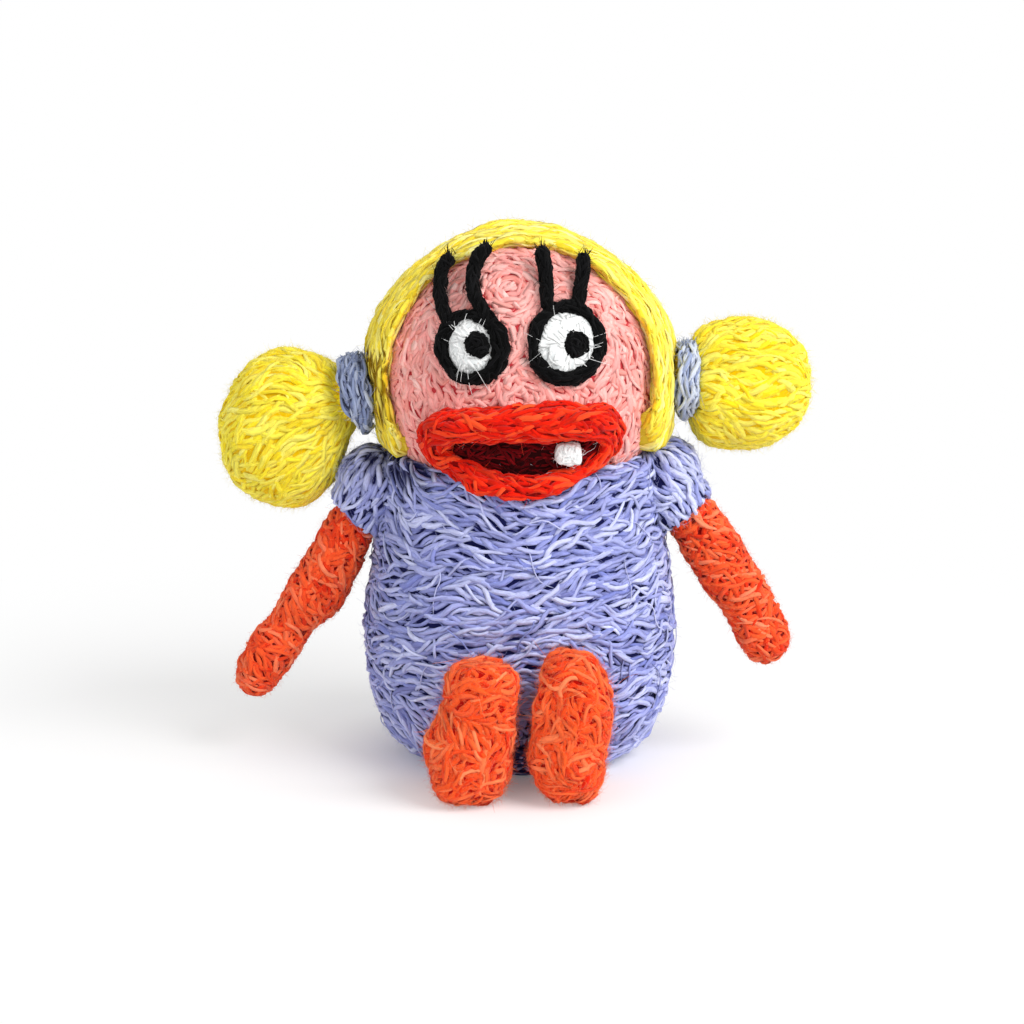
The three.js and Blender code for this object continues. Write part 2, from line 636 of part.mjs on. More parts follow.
// The middle line of the lips' roll over the face and the dress's neckline, and its radius
function lipLine() {
  const curve = new THREE.CatmullRomCurve3(LIPS.map(([out, up, radius]) => vec(out, up, radius)), true);
  const samples = curve.getPoints(LIP_STEPS).slice(0, LIP_STEPS);
  const neckline = NECKLINE_HEIGHT - BODY_HALF_DEPTH * Math.sin(rad(NECKLINE_TILT));
  const collar = neckline - HEAD_CENTRE;
  return samples.map(({ x: out, y: up, z: radius }) => {
    const { point, normal } = onFace([out, up], 0, GAP + radius * LIP_LIFT);
    const over = Math.max(0, collar + radius - up);
    const depth = BODY_HALF_DEPTH * (CHEST_HALF_WIDTH / BELLY_HALF_WIDTH);
    const front = -depth * Math.sqrt(1 - (out / CHEST_HALF_WIDTH) ** 2) - GAP - radius * LIP_LIFT;
    const share = Math.min(1, over / (2 * radius));
    point.y += (Math.min(front, point.y) - point.y) * share;
    return { point, normal, radius };
  });
}

// The lips: one soft roll all the way round the mouth
function lips(line, growth = 0) {
  const points = line.map(({ point }) => point);
  const radii = line.map(({ radius }) => radius + growth);
  return tube(points, radii, line.map(({ normal }) => normal), WIRE_SIDES + 2, true);
}

// A bar straight through the face inside the middle line of the lips
function mouthOpening(line) {
  const shape = new THREE.Shape();
  shape.setFromPoints(line.map(({ point }) => new THREE.Vector2(point.x, point.z)));
  const geometry = new THREE.ExtrudeGeometry(shape, { depth: FAR, bevelEnabled: false });
  geometry.rotateX(Math.PI / 2);
  return solidOf(geometry);
}

// A small rounded tooth that stands on the mouth's lining
function tooth() {
  const { at, width, height, round, stands, bevel } = TOOTH;
  const { point, normal } = onFace(at, 0);
  const halfWidth = width / 2 - round;
  const halfHeight = height / 2 - round;
  const shape = new THREE.Shape();
  shape.moveTo(-halfWidth, -height / 2);
  shape.absarc(halfWidth, -halfHeight, round, -Math.PI / 2, 0, false);
  shape.absarc(halfWidth, halfHeight, round, 0, Math.PI / 2, false);
  shape.absarc(-halfWidth, halfHeight, round, Math.PI / 2, Math.PI, false);
  shape.absarc(-halfWidth, -halfHeight, round, Math.PI, 1.5 * Math.PI, false);
  const bevels = { bevelSize: bevel, bevelThickness: bevel, bevelOffset: -bevel, bevelSegments: 2 };
  const depth = stands + LINING_THICKNESS;
  const options = { ...bevels, depth, curveSegments: TOOTH_STEPS };
  const geometry = new THREE.ExtrudeGeometry(shape, options);
  geometry.rotateX(Math.PI / 2);
  const forwards = Y_AXIS.clone().negate();
  geometry.applyQuaternion(new THREE.Quaternion().setFromUnitVectors(forwards, normal));
  geometry.translate(...point);
  return solidOf(geometry);
}

// Torso and head
const headClear = headForm(GAP);
const hairForm = headForm(HAIR_GROWTH);
const hips = Object.keys(SIDES).map(hipRoom);
const armholes = Object.keys(SIDES).map(armhole);
const shoulderBores = Object.keys(SIDES).map((side) => shoulderWire(side, WIRE_GAP));
const dressCuts = [headClear, ...armholes, ...hips, hipWire(WIRE_GAP), besideNeckline(1, 0)];
const dress = cut(dressForm(0), dressForm(-DRESS_WALL, CORE_SIDES), ...dressCuts);
const wireBores = [...shoulderBores, spineWire(WIRE_GAP)];
const stuffing = cut(dressForm(-DRESS_WALL - GAP, CORE_SIDES), besideNeckline(1, -DRESS_WALL));
const torsoStuffing = cut(stuffing, ...dressCuts, ...wireBores);
const chinBottom = HEAD_CENTRE - HEAD_STRAIGHT_SIDE - HEAD_CHIN;
const neckTop = vec(0, 0, chinBottom + 2 * HEAD_WALL);
const neckHole = bar(NECK_HOLE_RADIUS, vec(0, 0, 0), neckTop, LIMB_SIDES);
const head = cut(headForm(0), headForm(-HEAD_WALL, CORE_SIDES), neckHole);
const headStuffing = cut(headForm(-HEAD_WALL - GAP, CORE_SIDES), spineWire(WIRE_GAP));
const hairCuts = [headClear, faceArch(), besideNeckline(-1, GAP), ...Object.keys(SIDES).map(tieSeat)];
const hairCap = cut(hairForm, ...hairCuts);

const doll = new THREE.Group();
doll.add(meshOf("dress", dress, MATERIALS.dress));
doll.add(meshOf("torso_stuffing", torsoStuffing, MATERIALS.core));
doll.add(meshOf("head", head, MATERIALS.skin));
doll.add(meshOf("head_stuffing", headStuffing, MATERIALS.core));
doll.add(meshOf("hair_cap", hairCap, MATERIALS.hair));
doll.add(meshOf("spine_wire", spineWire(), MATERIALS.wire));
doll.add(meshOf("hip_wire", hipWire(), MATERIALS.wire));

// Face
const line = lipLine();
const lipRoll = cut(lips(line), headClear, dressForm(GAP).subtract(besideNeckline(1, GAP)));
const liningOutside = headForm(GAP + LINING_THICKNESS);
const liningCuts = [headClear, lips(line, GAP), besideNeckline(-1, GAP)];
const lining = cut(mouthOpening(line).intersect(liningOutside), ...liningCuts);
doll.add(meshOf("lips", lipRoll, MATERIALS.lip));
doll.add(meshOf("mouth_lining", lining, MATERIALS.lining));
doll.add(meshOf("tooth", cut(tooth(), headForm(2 * GAP + LINING_THICKNESS)), MATERIALS.white));
for (const [side, eye] of Object.entries(EYES)) {
  const { at, ring, band, pupilAt } = eye;
  const whiteRadius = ring - band - GAP;
  const white = faceDome(at, whiteRadius, EYE_WHITE_HEIGHT, 0, LIMB_SIDES);
  const whiteClear = faceDome(at, whiteRadius, EYE_WHITE_HEIGHT, GAP, LIMB_SIDES);
  const pupilPlace = [at[0] + pupilAt[0], at[1] + pupilAt[1]];
  const pupil = faceDome(pupilPlace, PUPIL_RADIUS, EYE_WHITE_HEIGHT + PUPIL_HEIGHT, 0, LIMB_SIDES);
  doll.add(meshOf(`eye_ring_${side}`, cut(eyeRing(eye), headClear), MATERIALS.black));
  doll.add(meshOf(`eye_white_${side}`, cut(white, headClear), MATERIALS.white));
  doll.add(meshOf(`pupil_${side}`, cut(pupil, headClear, whiteClear), MATERIALS.black));
}
const hairClear = headForm(HAIR_GROWTH + GAP).subtract(faceArch(-GAP));
for (const [name, places] of Object.entries(LASHES)) {
  doll.add(meshOf(name, cut(lash(places), headClear, hairClear), MATERIALS.black));
}

// Hair bunches, arms and legs
for (const side of Object.keys(SIDES)) {
  doll.add(meshOf(`hair_bunch_${side}`, hairBunch(side), MATERIALS.hair));
  doll.add(meshOf(`hair_tie_${side}`, hairTie(side), MATERIALS.dress));
  doll.add(meshOf(`shoulder_wire_${side}`, shoulderWire(side), MATERIALS.wire));
  doll.add(armGroup(side));
  doll.add(meshOf(`leg_${side}`, leg(side), MATERIALS.limb));
}

export default doll;
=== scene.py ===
import math

import bpy
import numpy as np
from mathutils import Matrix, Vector
from mathutils.bvhtree import BVHTree


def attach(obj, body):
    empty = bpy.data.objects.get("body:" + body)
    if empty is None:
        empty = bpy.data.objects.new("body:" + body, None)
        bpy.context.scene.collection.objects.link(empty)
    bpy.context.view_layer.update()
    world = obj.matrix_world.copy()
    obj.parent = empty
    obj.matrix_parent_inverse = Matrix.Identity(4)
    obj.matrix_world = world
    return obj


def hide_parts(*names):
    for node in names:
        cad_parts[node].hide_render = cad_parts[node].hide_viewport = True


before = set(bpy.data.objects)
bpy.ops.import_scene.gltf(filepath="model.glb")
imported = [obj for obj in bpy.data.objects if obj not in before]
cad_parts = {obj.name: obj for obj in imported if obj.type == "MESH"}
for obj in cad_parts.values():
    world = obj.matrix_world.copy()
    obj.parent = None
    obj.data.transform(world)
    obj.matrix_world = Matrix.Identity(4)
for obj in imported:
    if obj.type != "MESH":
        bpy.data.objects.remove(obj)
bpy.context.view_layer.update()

# Sizes are in millimetres, in the frame of the CAD model: the doll looks to -Y and its left side is at +X.
MM = 0.001
SIDES = {"right": -1, "left": 1}
# The head's middle, the height of its straight cheeks, its half width and half depth, and its reach down and up
HEAD_Z, CHEEKS = 71.0, 3
HEAD_WIDE, HEAD_DEEP, CHIN, CROWN = 25.8, 22.7, 23.4, 24.8
# The dress's half width and half depth at the belly, the belly's height, and the same halves at the chest
BELLY, BELLY_DEEP, BELLY_Z, CHEST, CHEST_DEEP = 28.8, 25.9, 24, 25.2, 22.9
# How much the neckline and the hair's edge rise for each mm towards the back
NECK_SLOPE = 0.114
# Forms and strands stay this high above the floor.
FORM_FLOOR, STRAND_FLOOR = 0.05, 0.02

# ---------------- small maths


def unit(v):
    return v / np.maximum(np.linalg.norm(v, axis=-1, keepdims=True), 1e-9)


def dot(a, b):
    return (a * b).sum(-1, keepdims=True)


def smoothstep(low, high, x):
    t = np.clip((x - low) / (high - low), 0, 1)
    return t * t * (3 - 2 * t)


def signed_power(x, power):
    return np.sign(x) * np.abs(x) ** power


def flattened(way, normal):
    """The part of a direction that lies in the surface."""
    return way - normal * dot(way, normal)


def turned(way, normal, angle):
    """A direction in the surface, turned round the normal."""
    return way * np.cos(angle) + np.cross(normal, way) * np.sin(angle)


def circle(count):
    """Angles round a circle."""
    return np.arange(count) * 2 * np.pi / count


def about_y(angle):
    c, s = math.cos(angle), math.sin(angle)
    return np.array([[c, 0, s], [0, 1, 0], [-s, 0, c]])


class Waves:
    """Smooth noise of about -1 to 1: a sum of sine waves in random directions."""

    def __init__(self, seed, scale):
        r, count = np.random.default_rng(seed), 12
        spread = r.uniform(0.55, 1.6, (count, 1))
        self.k = unit(r.normal(size=(count, 3))) * spread * 2 * np.pi / scale
        self.phase = r.uniform(0, 2 * np.pi, count)

    def __call__(self, p):
        return np.sin(p @ self.k.T + self.phase).sum(-1) / math.sqrt(len(self.phase))


# ---------------- forms


class Form:
    """A closed surface of quads and triangles that strands are laid on."""

    def __init__(self, verts, quads):
        self.v, self.quads = np.asarray(verts, float), np.asarray(quads)
        self.cut()
        a, b, c = (self.v[self.tri[:, i]] for i in range(3))
        if (np.cross(a, b) * c).sum() < 0:
            self.quads = self.quads[:, ::-1]
            self.cut()
        self.refresh()

    def cut(self):
        q = self.quads
        tri = np.concatenate([q[:, [0, 1, 2]], q[:, [0, 2, 3]]])
        ok = (tri[:, 0] != tri[:, 1]) & (tri[:, 1] != tri[:, 2]) & (tri[:, 2] != tri[:, 0])
        self.tri = tri[ok]

    def refresh(self):
        a, b, c = (self.v[self.tri[:, i]] for i in range(3))
        cross = np.cross(b - a, c - a)
        self.area = np.linalg.norm(cross, axis=1) / 2
        self.n = np.zeros_like(self.v)
        for i in range(3):
            np.add.at(self.n, self.tri[:, i], cross)
        self.n = unit(self.n)
        self.tree = BVHTree.FromPolygons(self.v.tolist(), self.tri.tolist())
        return self

    def push(self, amount):
        """Moves each vertex along its normal."""
        self.v = self.v + self.n * np.reshape(amount, (-1, 1))
        return self.refresh()

    def lump(self, seed, scale, amount):
        """Raises and lowers the surface by smooth noise."""
        return self.push(Waves(seed, scale)(self.v) * amount)

    def snap(self, p):
        """The nearest places on the surface, and the smooth normals there."""
        found = [self.tree.find_nearest(q) for q in p.tolist()]
        place = np.array([f[0][:] for f in found])
        tri = self.tri[[f[2] for f in found]]
        a, b, c = (self.v[tri[:, i]] for i in range(3))
        whole = np.linalg.norm(np.cross(b - a, c - a), axis=1) + 1e-12
        wa = np.linalg.norm(np.cross(b - place, c - place), axis=1) / whole
        wb = np.linalg.norm(np.cross(c - place, a - place), axis=1) / whole
        wc = np.clip(1 - wa - wb, 0, 1)
        n = self.n[tri[:, 0]] * wa[:, None] + self.n[tri[:, 1]] * wb[:, None]
        return place, unit(n + self.n[tri[:, 2]] * wc[:, None])

    def scatter(self, r, spacing, keep=None, tries=6):
        """Places on the surface, no two nearer than the spacing."""
        count = int(self.area.sum() / spacing**2 * tries) + 8
        pick = r.choice(len(self.area), count, p=self.area / self.area.sum())
        u, v = r.random((2, count, 1))
        over = u + v > 1
        u, v = np.where(over, 1 - u, u), np.where(over, 1 - v, v)
        a, b, c = (self.v[self.tri[pick, i]] for i in range(3))
        p = a + (b - a) * u + (c - a) * v
        if keep is not None:
            p = p[keep(p)]
        cells, kept = {}, []
        keys = np.floor(p / spacing).astype(int).tolist()
        near = [(i, j, k) for i in (-1, 0, 1) for j in (-1, 0, 1) for k in (-1, 0, 1)]
        for q, (x, y, z) in zip(p.tolist(), keys):
            others = (o for i, j, k in near for o in cells.get((x + i, y + j, z + k), ()))
            if all((q[0] - o[0]) ** 2 + (q[1] - o[1]) ** 2 + (q[2] - o[2]) ** 2 >= spacing**2 for o in others):
                cells.setdefault((x, y, z), []).append(q)
                kept.append(q)
        return np.array(kept).reshape(-1, 3)


def rings(points, closed=False):
    """A form through rings of points, shaped (rows, sides, 3): it ends in two points, or closes both ways."""
    rows, sides, _ = points.shape
    i, k = np.meshgrid(np.arange(rows - (not closed)), np.arange(sides), indexing="ij")
    at = lambda a, b: (a % rows) * sides + b % sides
    quads = np.stack([at(i, k), at(i, k + 1), at(i + 1, k + 1), at(i + 1, k)], -1).reshape(-1, 4)
    remap = np.arange(rows * sides)
    for row in (0, rows - 1):
        if np.ptp(points[row], axis=0).max() < 1e-6:
            remap[row * sides:(row + 1) * sides] = row * sides
    return Form(points.reshape(-1, 3), remap[quads])


def lathe(profile, sides, ratio=1.0):
    """A form turned round Z from (radius, height) pairs; ratio is its depth against its width."""
    a = circle(sides)
    return rings(np.array([[(r * math.cos(t), r * ratio * math.sin(t), z) for t in a] for r, z in profile]))


def smooth_line(points, count, closed=False):
    """A Catmull-Rom curve through the points, resampled."""
    p = np.asarray(points, float)
    n = len(p)
    t = np.linspace(0, n if closed else n - 1, count, endpoint=not closed)
    i = np.minimum(np.floor(t).astype(int), n - 1 if closed else n - 2)
    f = (t - i)[:, None]
    at = (lambda j: p[j % n]) if closed else (lambda j: p[np.clip(j, 0, n - 1)])
    a, b, c, d = at(i - 1), at(i), at(i + 1), at(i + 2)
    return 0.5 * (2 * b + (c - a) * f + (2 * a - 5 * b + 4 * c - d) * f**2 + (3 * b - a - 3 * c + d) * f**3)


def limb(line, radii, up=(0, 1, 0), sides=40):
    """A round form along a line of points, closed at both ends."""
    line, radii = np.asarray(line, float), np.asarray(radii, float)
    along = unit(np.gradient(line, axis=0))
    up = unit(flattened(np.broadcast_to(np.asarray(up, float), line.shape), along))
    across, a = np.cross(along, up), circle(sides)
    out = across[:, None] * np.cos(a)[:, None] - up[:, None] * np.sin(a)[:, None]
    return rings(line[:, None] + out * radii[:, None, None])


POCKET = 6.5  # the radius of the room that the dress leaves round each leg


def hip_place(s):
    return np.array([s * 8.3, -21.5, 8.5])


def leg_distance(p, s):
    """How far a place is from the line of a leg; the room goes lower, where the leg swings down."""
    way = p - hip_place(s)
    low = way[..., 2] + np.minimum(1.6, -np.minimum(way[..., 2], 0))
    return np.hypot(way[..., 0], low)


def dress_form():
    sole, narrower, rise = 17, 3.6, 30  # the flat bottom's half width, and the chest above the belly
    profile = [(0, 0), (8, 0), (14.5, 0)]
    for turn in np.linspace(0, math.pi / 2, 22):
        profile.append((sole + (BELLY - sole) * math.sin(turn), BELLY_Z - BELLY_Z * math.cos(turn)))
    for t in np.linspace(0, 1, 26)[1:]:
        profile.append((CHEST + narrower * (1 + math.cos(math.pi * t)) / 2, BELLY_Z + rise * t))
    profile += [(25.1, 55.4), (24.9, 56.6), (24.2, 57.5), (23.0, 57.9), (20, 57.7), (12, 56), (0, 55)]
    form = lathe(profile, 120, BELLY_DEEP / BELLY)
    # The neckline is higher at the back.
    form.v[:, 2] += form.v[:, 1] * math.tan(math.radians(6.5)) * smoothstep(40, 57, form.v[:, 2])
    form.refresh()
    lumps = Waves(3, 26)(form.v) * 0.35 + Waves(4, 11)(form.v) * 0.14
    form.push(lumps * smoothstep(0.5, 8, form.v[:, 2]) - 0.55)
    # Each leg's ball end has a round pocket, which the foot hides.
    for s in SIDES.values():
        way = form.v - hip_place(s)
        near = leg_distance(form.v, s) / POCKET
        back = POCKET * np.sqrt(np.clip(1 - near**2, 0, 1)) - way[:, 1]
        form.v[:, 1] += np.maximum(back, 0) * (near < 1) * (form.v[:, 1] < -8)
    form.v[:, 2] = np.maximum(form.v[:, 2], FORM_FLOOR)
    return form.refresh()


def head_form(growth, sides=128, pinch=1.0, drop=0.0):
    """The head's round form, grown; pinch narrows its upper half and drop lowers its crown."""
    wide, profile = HEAD_WIDE + growth, []
    for t in np.linspace(0, math.pi / 2, 34):
        profile.append((wide * math.sin(t), HEAD_Z - CHEEKS - (CHIN + growth) * math.cos(t)))
    for t in np.linspace(0, math.pi / 2, 44):
        profile.append((wide * math.cos(t) ** pinch, HEAD_Z + (CROWN + growth - drop) * math.sin(t)))
    profile[0], profile[-1] = (0, profile[0][1]), (0, profile[-1][1])
    return lathe(profile, sides, (HEAD_DEEP + growth) / (HEAD_WIDE + growth))


FACE_TILT = math.radians(12)  # the face opening's edge leans back by this
ARCH = 23.3  # the face opening's half width


def arch_distance(p):
    """How far outside the arched face opening a place is, negative inside it."""
    q = p - np.array([0, -3, HEAD_Z - 1.5])
    w = q[..., 1] * math.sin(FACE_TILT) + q[..., 2] * math.cos(FACE_TILT)
    ahead = -q[..., 1] * math.cos(FACE_TILT) + q[..., 2] * math.sin(FACE_TILT)
    narrower = np.where(q[..., 0] < 0, 2.0, 0.0) * np.clip(-w / 15, 0, 1)
    side = np.abs(q[..., 0]) - ARCH + narrower
    return np.maximum(np.where(w > 0, np.hypot(q[..., 0], w) - ARCH, side), -ahead)


# Where each bunch leaves the head, how far it points down there, and its ball's middle, half sizes, lean and the
# power that says how full its inner side is; pivots and balls are (outwards, back, above the head's middle)
BUNCHES = {
    "right": dict(pivot=(29.4, -2, -3.7), tilt=12, ball=(42.7, 3, -10.7), half=(12.0, 12.2, 14.8), lean=17, full=2.5),
    "left": dict(pivot=(29.9, -1, -1.4), tilt=3, ball=(41.4, 2, -2.4), half=(11.5, 11.2, 12.1), lean=-4, full=3.4),
}
# A tie's half widths from its lowest place to its highest, how far it sits outwards, and the hair's seat
TIES = {
    "right": dict(widths=[0.7, 1.5, 2.2, 2.4, 2.4, 2.0], shift=-0.4, seat=3.0),
    "left": dict(widths=[0.8, 1.6, 2.0, 1.7, 1.55, 1.3], shift=0.0, seat=2.4),
}


def tie_place(side):
    """The middle of a tie and the direction out of the head through it."""
    s, bunch = SIDES[side], BUNCHES[side]
    out, back, up = bunch["pivot"]
    tilt = math.radians(bunch["tilt"])
    return np.array([s * out, back, HEAD_Z + up]), np.array([s * math.cos(tilt), 0, -math.sin(tilt)])


def hair_edge(p):
    """The height of the hair's lower edge, which follows the neckline."""
    return 58.0 + p[:, 1] * NECK_SLOPE - smoothstep(-4, 6, p[:, 1])


def hair_form():
    form = head_form(2.35, 200, 1.13, 0.35)
    form.lump(12, 13, 0.25)
    # The doll's right side of the cap is 1 mm flatter beside the face.
    form.v[:, 0] += smoothstep(-12, -24, form.v[:, 0]) * (1 - smoothstep(-4, 7, form.v[:, 2] - HEAD_Z))
    form.refresh()
    # Under its lower edge it goes inside the dress.
    form.push(-4.2 * (1 - smoothstep(-1.5, 0.8, form.v[:, 2] - hair_edge(form.v))))
    # Inside the face opening it goes straight back, to lie under the head's skin.
    inside = 1 - smoothstep(-0.7, 0.7, arch_distance(form.v) + Waves(11, 9)(form.v) * 0.25)
    back, under = Vector((0, math.cos(FACE_TILT), -math.sin(FACE_TILT))), head_form(-2.0).tree
    for i in np.flatnonzero(inside > 0):
        place = Vector(form.v[i])
        hit = under.ray_cast(place - back * 5, back, 40)[0] or under.find_nearest(place)[0]
        form.v[i] += (np.array(hit) - form.v[i]) * inside[i]
    form.refresh()
    # A flat seat for each tie
    for side in SIDES:
        pivot, outwards = tie_place(side)
        way = form.v - pivot
        along = dot(way, outwards)
        off = np.linalg.norm(way - along * outwards, axis=1, keepdims=True)
        deep = np.maximum(along + TIES[side]["seat"], 0) * (1 - smoothstep(7.0, 8.0, off)) * (along > -9)
        form.v = form.v - outwards * deep
    return form.refresh()


def egg(centre, half, lean, seed, way, full):
    """An egg whose side against the direction of way is as full as the power says."""
    rows, sides = 48, 72
    t, a = np.linspace(0, math.pi, rows), circle(sides)
    x, y = np.sin(t)[:, None] * np.cos(a), np.sin(t)[:, None] * np.sin(a)
    z = -np.cos(t)[:, None] * np.ones(sides)
    near = np.clip(-x * way, 0, 0.9999)
    wider = (1 - near**full) ** (1 / full) / np.sqrt(1 - near**2)
    pts = np.stack([x, y * wider, z * wider], -1) * np.array(half)
    pts[0], pts[-1] = pts[0].mean(0), pts[-1].mean(0)
    form = rings(pts @ about_y(math.radians(lean)).T + np.array(centre))
    return form.lump(seed, 9, 0.3)


# Rows of an arm as [distance, shift outwards, half width], down from the shoulder
ARMS = {
    "right": dict(length=44.5, rows=[
        (-1, 0, 4.1), (4, -0.3, 4.3), (8, -0.4, 4.6), (12, -0.7, 4.8), (14, -1.1, 5.1), (17, -1.3, 5.35),
        (20, -1.4, 5.5), (22.5, -1.35, 5.4), (24.5, -1.05, 4.95), (26.5, -0.7, 4.5), (29, -0.6, 4.3), (32, -0.5, 4.65),
        (35, -0.25, 4.75), (38, -0.2, 4.6), (40, -0.2, 4.45)]),
    "left": dict(length=37.4, rows=[
        (-1, 0.2, 4.4), (4, 0.6, 4.7), (8, 0.9, 4.95), (14, 0.95, 5.25), (18, 0.85, 5.2), (22, 1.15, 5.15),
        (26, 1.1, 4.65), (29, 0.85, 4.5), (32, 0.5, 4.65), (33.7, 0.4, 4.3)]),
}
SHOULDER = (27.1, -2.0, 49.7)
SPREAD = math.radians(32)  # how far the arms stand out


def hang(side, p):
    """Turns and moves places from an arm that hangs down -Z to where the arm is."""
    s = SIDES[side]
    return np.asarray(p) @ about_y(-s * SPREAD).T + np.array([s * SHOULDER[0], SHOULDER[1], SHOULDER[2]])


def arm_way(side):
    """The direction down an arm."""
    return hang(side, [0, 0, -1.0]) - hang(side, [0, 0, 0.0])


def arm_form(side):
    arm = ARMS[side]
    body = smooth_line(arm["rows"], 30)
    last = body[-1]
    turns = np.linspace(0, math.pi / 2, 10)[1:]
    end = [(last[0] + (arm["length"] - last[0]) * math.sin(t), last[1], last[2] * math.cos(t)) for t in turns]
    rows = np.vstack([[(body[0][0], body[0][1], 0)], body, end])
    line = np.stack([SIDES[side] * rows[:, 1], np.zeros(len(rows)), -rows[:, 0]], -1)
    form = limb(hang(side, line), np.maximum(rows[:, 2] - 0.45, 0))
    return form.lump(21 + SIDES[side], 8, 0.28)


# A sleeve's hem radius, the hem's height under the shoulder, how far it sits inwards and up, its extra height, how
# much higher its hem is on the outer side, and the x of its flat inner side, which stays out of the head
SLEEVES = {
    "right": dict(hem=5.45, low=-6.0, inwards=0.4, up=0.5, taller=0.9, skew=1.2, inner=23.0),
    "left": dict(hem=6.0, low=-6.1, inwards=0.9, up=0.9, taller=1.9, skew=0.5, inner=23.9),
}
PUFF = 6.45  # a sleeve's half width


def sleeve_form(side):
    s, sleeve = SIDES[side], SLEEVES[side]
    hem, low, inner = sleeve["hem"], sleeve["low"], sleeve["inner"]
    profile = [(0, low + 0.6), (hem - 0.9, low + 0.4), (hem - 0.1, low), (hem, low + 0.7), (hem + 0.15, low + 1.8)]
    profile += [(PUFF * math.cos(t), PUFF * math.sin(t)) for t in np.linspace(-0.5, math.pi / 2, 26)]
    profile[-1] = (0, PUFF)
    form = lathe(profile, 64)
    form.v[:, 2] += sleeve["skew"] * s * form.v[:, 0] / hem * (1 - smoothstep(-6, 1, form.v[:, 2]))
    form.v = hang(side, form.v) + np.array([-s * sleeve["inwards"], 0, sleeve["up"]])
    form.v[:, 2] += sleeve["taller"] * smoothstep(48, 57, form.v[:, 2])
    out = form.v[:, 0] * s
    form.v[:, 0] = s * np.maximum(out, inner + 0.1 * (out - inner))
    return form.refresh().lump(31, 7, 0.2)


# Rows of a foot as [height, middle, half width], from the floor to the toe, and how much its heel is rounded off
FEET = {
    "right": dict(heel=0.7, rows=[
        (0.0, 9.3, 3.2), (1.6, 9.1, 5.6), (5, 8.8, 7.1), (9, 8.9, 7.6), (12.5, 8.5, 7.6), (15.5, 7.6, 6.9),
        (19, 6.8, 6.5), (22.4, 6.8, 6.2), (24.8, 6.8, 5.0), (25.8, 6.7, 2.4)]),
    "left": dict(heel=1.4, rows=[
        (0.0, 8.2, 2.6), (1.6, 8.3, 4.6), (5, 8.5, 6.4), (9, 8.3, 6.9), (13, 8.7, 6.75), (16.5, 9.0, 6.8),
        (20, 9.15, 6.6), (23.6, 9.15, 5.8), (26.4, 9.0, 3.9), (27.5, 9.0, 1.4)]),
}


def foot_form(side):
    s, sides = SIDES[side], 48
    rows = smooth_line(FEET[side]["rows"], 44)
    rows = np.vstack([[rows[0][0], rows[0][1], 0], rows, [rows[-1][0], rows[-1][1], 0]])
    top, a, pts = rows[-1][0], circle(sides), []
    for z, mid, half in rows:
        # A foot is less deep than wide, and leans back a little.
        deep = min(half * 0.86, 6.3)
        back = -33 + 0.8 * (z / top)
        pts.append(np.stack([s * mid + half * np.cos(a), back + deep * np.sin(a), np.full(sides, z)], -1))
    form = rings(np.array(pts))
    form.push(Waves(41 + s, 8)(form.v) * 0.3 - 0.4)
    heel = FEET[side]["heel"]
    form.v[:, 2] += heel * smoothstep(-31, -37, form.v[:, 1]) * (1 - smoothstep(0, 9, form.v[:, 2]))
    form.v[:, 2] = np.maximum(form.v[:, 2], FORM_FLOOR)
    return form.refresh()


# ---------------- strands


